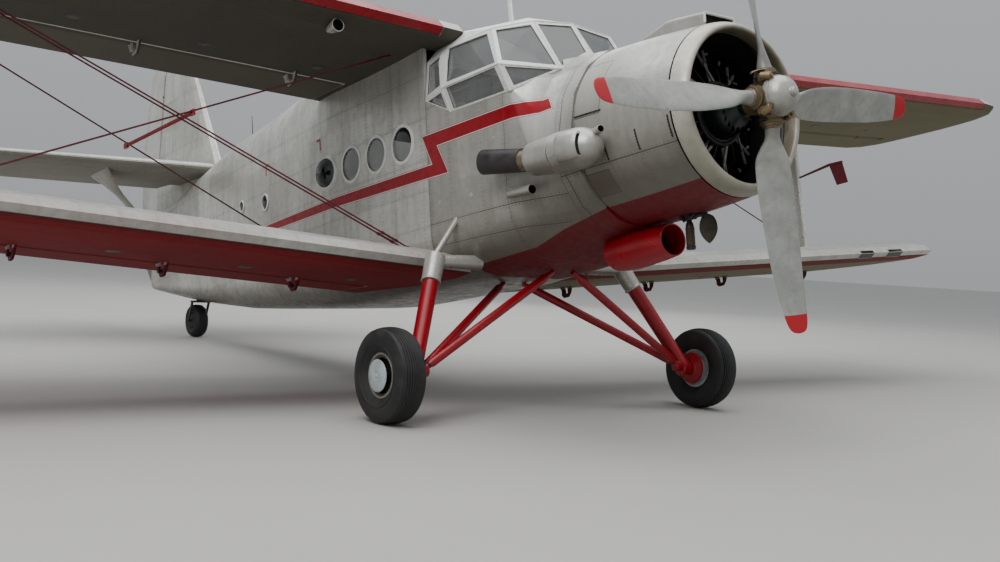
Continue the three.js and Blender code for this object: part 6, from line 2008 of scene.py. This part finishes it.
def tail_lamp():
    lamp = Form()
    lamp.turned([(0.0, 0.026), (0.02, 0.025), (0.034, 0.016), (0.038, 0.0)], A(12.285, 0, 0.72),
                -FORWARD, 20)
    lamp.make("tail_lamp", "light", smooth=50)


exit_marks()
antennas()
door_fittings()
small_covers()
lifting_eyes()
tail_lamp()


# Camera, floor and light
CAMERA = {
    "ahead": 6.0406, "starboard": 7.1184, "height": 1.4480,
    "yaw": 2.4869, "pitch": -0.0233, "roll": 0.0522, "lens": 43.06,
}
FLOOR_REACH = 120
# Lights, columns: name, place, target, size, power
LIGHTS = (
    ("key", (10, -14, 16), (2, 0, 2), 12, 2300),
    ("top", (0, 0, 20), (0, 0, 0), 26, 4200),
    ("rim", (-14, 12, 10), (0, 0, 2), 12, 900),
)


def place_camera():
    yaw, pitch, roll = CAMERA["yaw"], CAMERA["pitch"], CAMERA["roll"]
    forward = Vector((math.cos(yaw) * math.cos(pitch), math.sin(yaw) * math.cos(pitch), math.sin(pitch)))
    right = Vector((math.sin(yaw), -math.cos(yaw), 0))
    up = right.cross(forward)
    rolled_right = right * math.cos(roll) + up * math.sin(roll)
    rolled_up = up * math.cos(roll) - right * math.sin(roll)
    camera = bpy.data.objects.new("camera", bpy.data.cameras.new("camera"))
    bpy.context.scene.collection.objects.link(camera)
    turn = Matrix((rolled_right, rolled_up, -forward)).transposed()
    camera.matrix_world = Matrix.Translation((HUB.x + CAMERA["ahead"], -CAMERA["starboard"],
                                              CAMERA["height"])) @ turn.to_4x4()
    camera.data.sensor_width = 36.0
    camera.data.lens = CAMERA["lens"]
    camera.data.clip_end = 500
    bpy.context.scene.camera = camera


def place_floor():
    floor = bpy.data.meshes.new("floor")
    reach = FLOOR_REACH
    floor.from_pydata([(-reach, -reach, 0), (reach, -reach, 0), (reach, reach, 0), (-reach, reach, 0)],
                      [], [(0, 1, 2, 3)])
    ground = bpy.data.objects.new("floor", floor)
    bpy.context.scene.collection.objects.link(ground)
    pale = Paint("floor_pale", 0.9)
    mottle = pale.mix(pale.noise(0.6, 3), (0.38, 0.37, 0.345), (0.42, 0.41, 0.385))
    floor.materials.append(pale.finish(mottle))


def place_sky():
    """A bright sky overhead that fades towards the horizon."""
    world = bpy.data.worlds.new("sky")
    world.use_nodes = True
    bpy.context.scene.world = world
    nodes, links = world.node_tree.nodes, world.node_tree.links
    back = nodes["Background"]
    aim = nodes.new("ShaderNodeTexCoord")
    parts = nodes.new("ShaderNodeSeparateXYZ")
    ramp = nodes.new("ShaderNodeMapRange")
    tint = nodes.new("ShaderNodeMix")
    tint.data_type = "RGBA"
    tint.inputs["A"].default_value = (0.44, 0.45, 0.46, 1)
    tint.inputs["B"].default_value = (0.90, 0.95, 1.02, 1)
    links.new(aim.outputs["Generated"], parts.inputs[0])
    links.new(parts.outputs["Z"], ramp.inputs["Value"])
    links.new(ramp.outputs["Result"], tint.inputs["Factor"])
    links.new(tint.outputs["Result"], back.inputs["Color"])
    back.inputs["Strength"].default_value = 0.85


def place_lights():
    for name, place, target, size, power in LIGHTS:
        data = bpy.data.lights.new(name, "AREA")
        data.size = size
        data.energy = power
        lamp = bpy.data.objects.new(name, data)
        lamp.location = place
        lamp.rotation_euler = (Vector(target) - Vector(place)).to_track_quat("-Z", "Y").to_euler()
        bpy.context.scene.collection.objects.link(lamp)


place_camera()
place_floor()
place_sky()
place_lights()
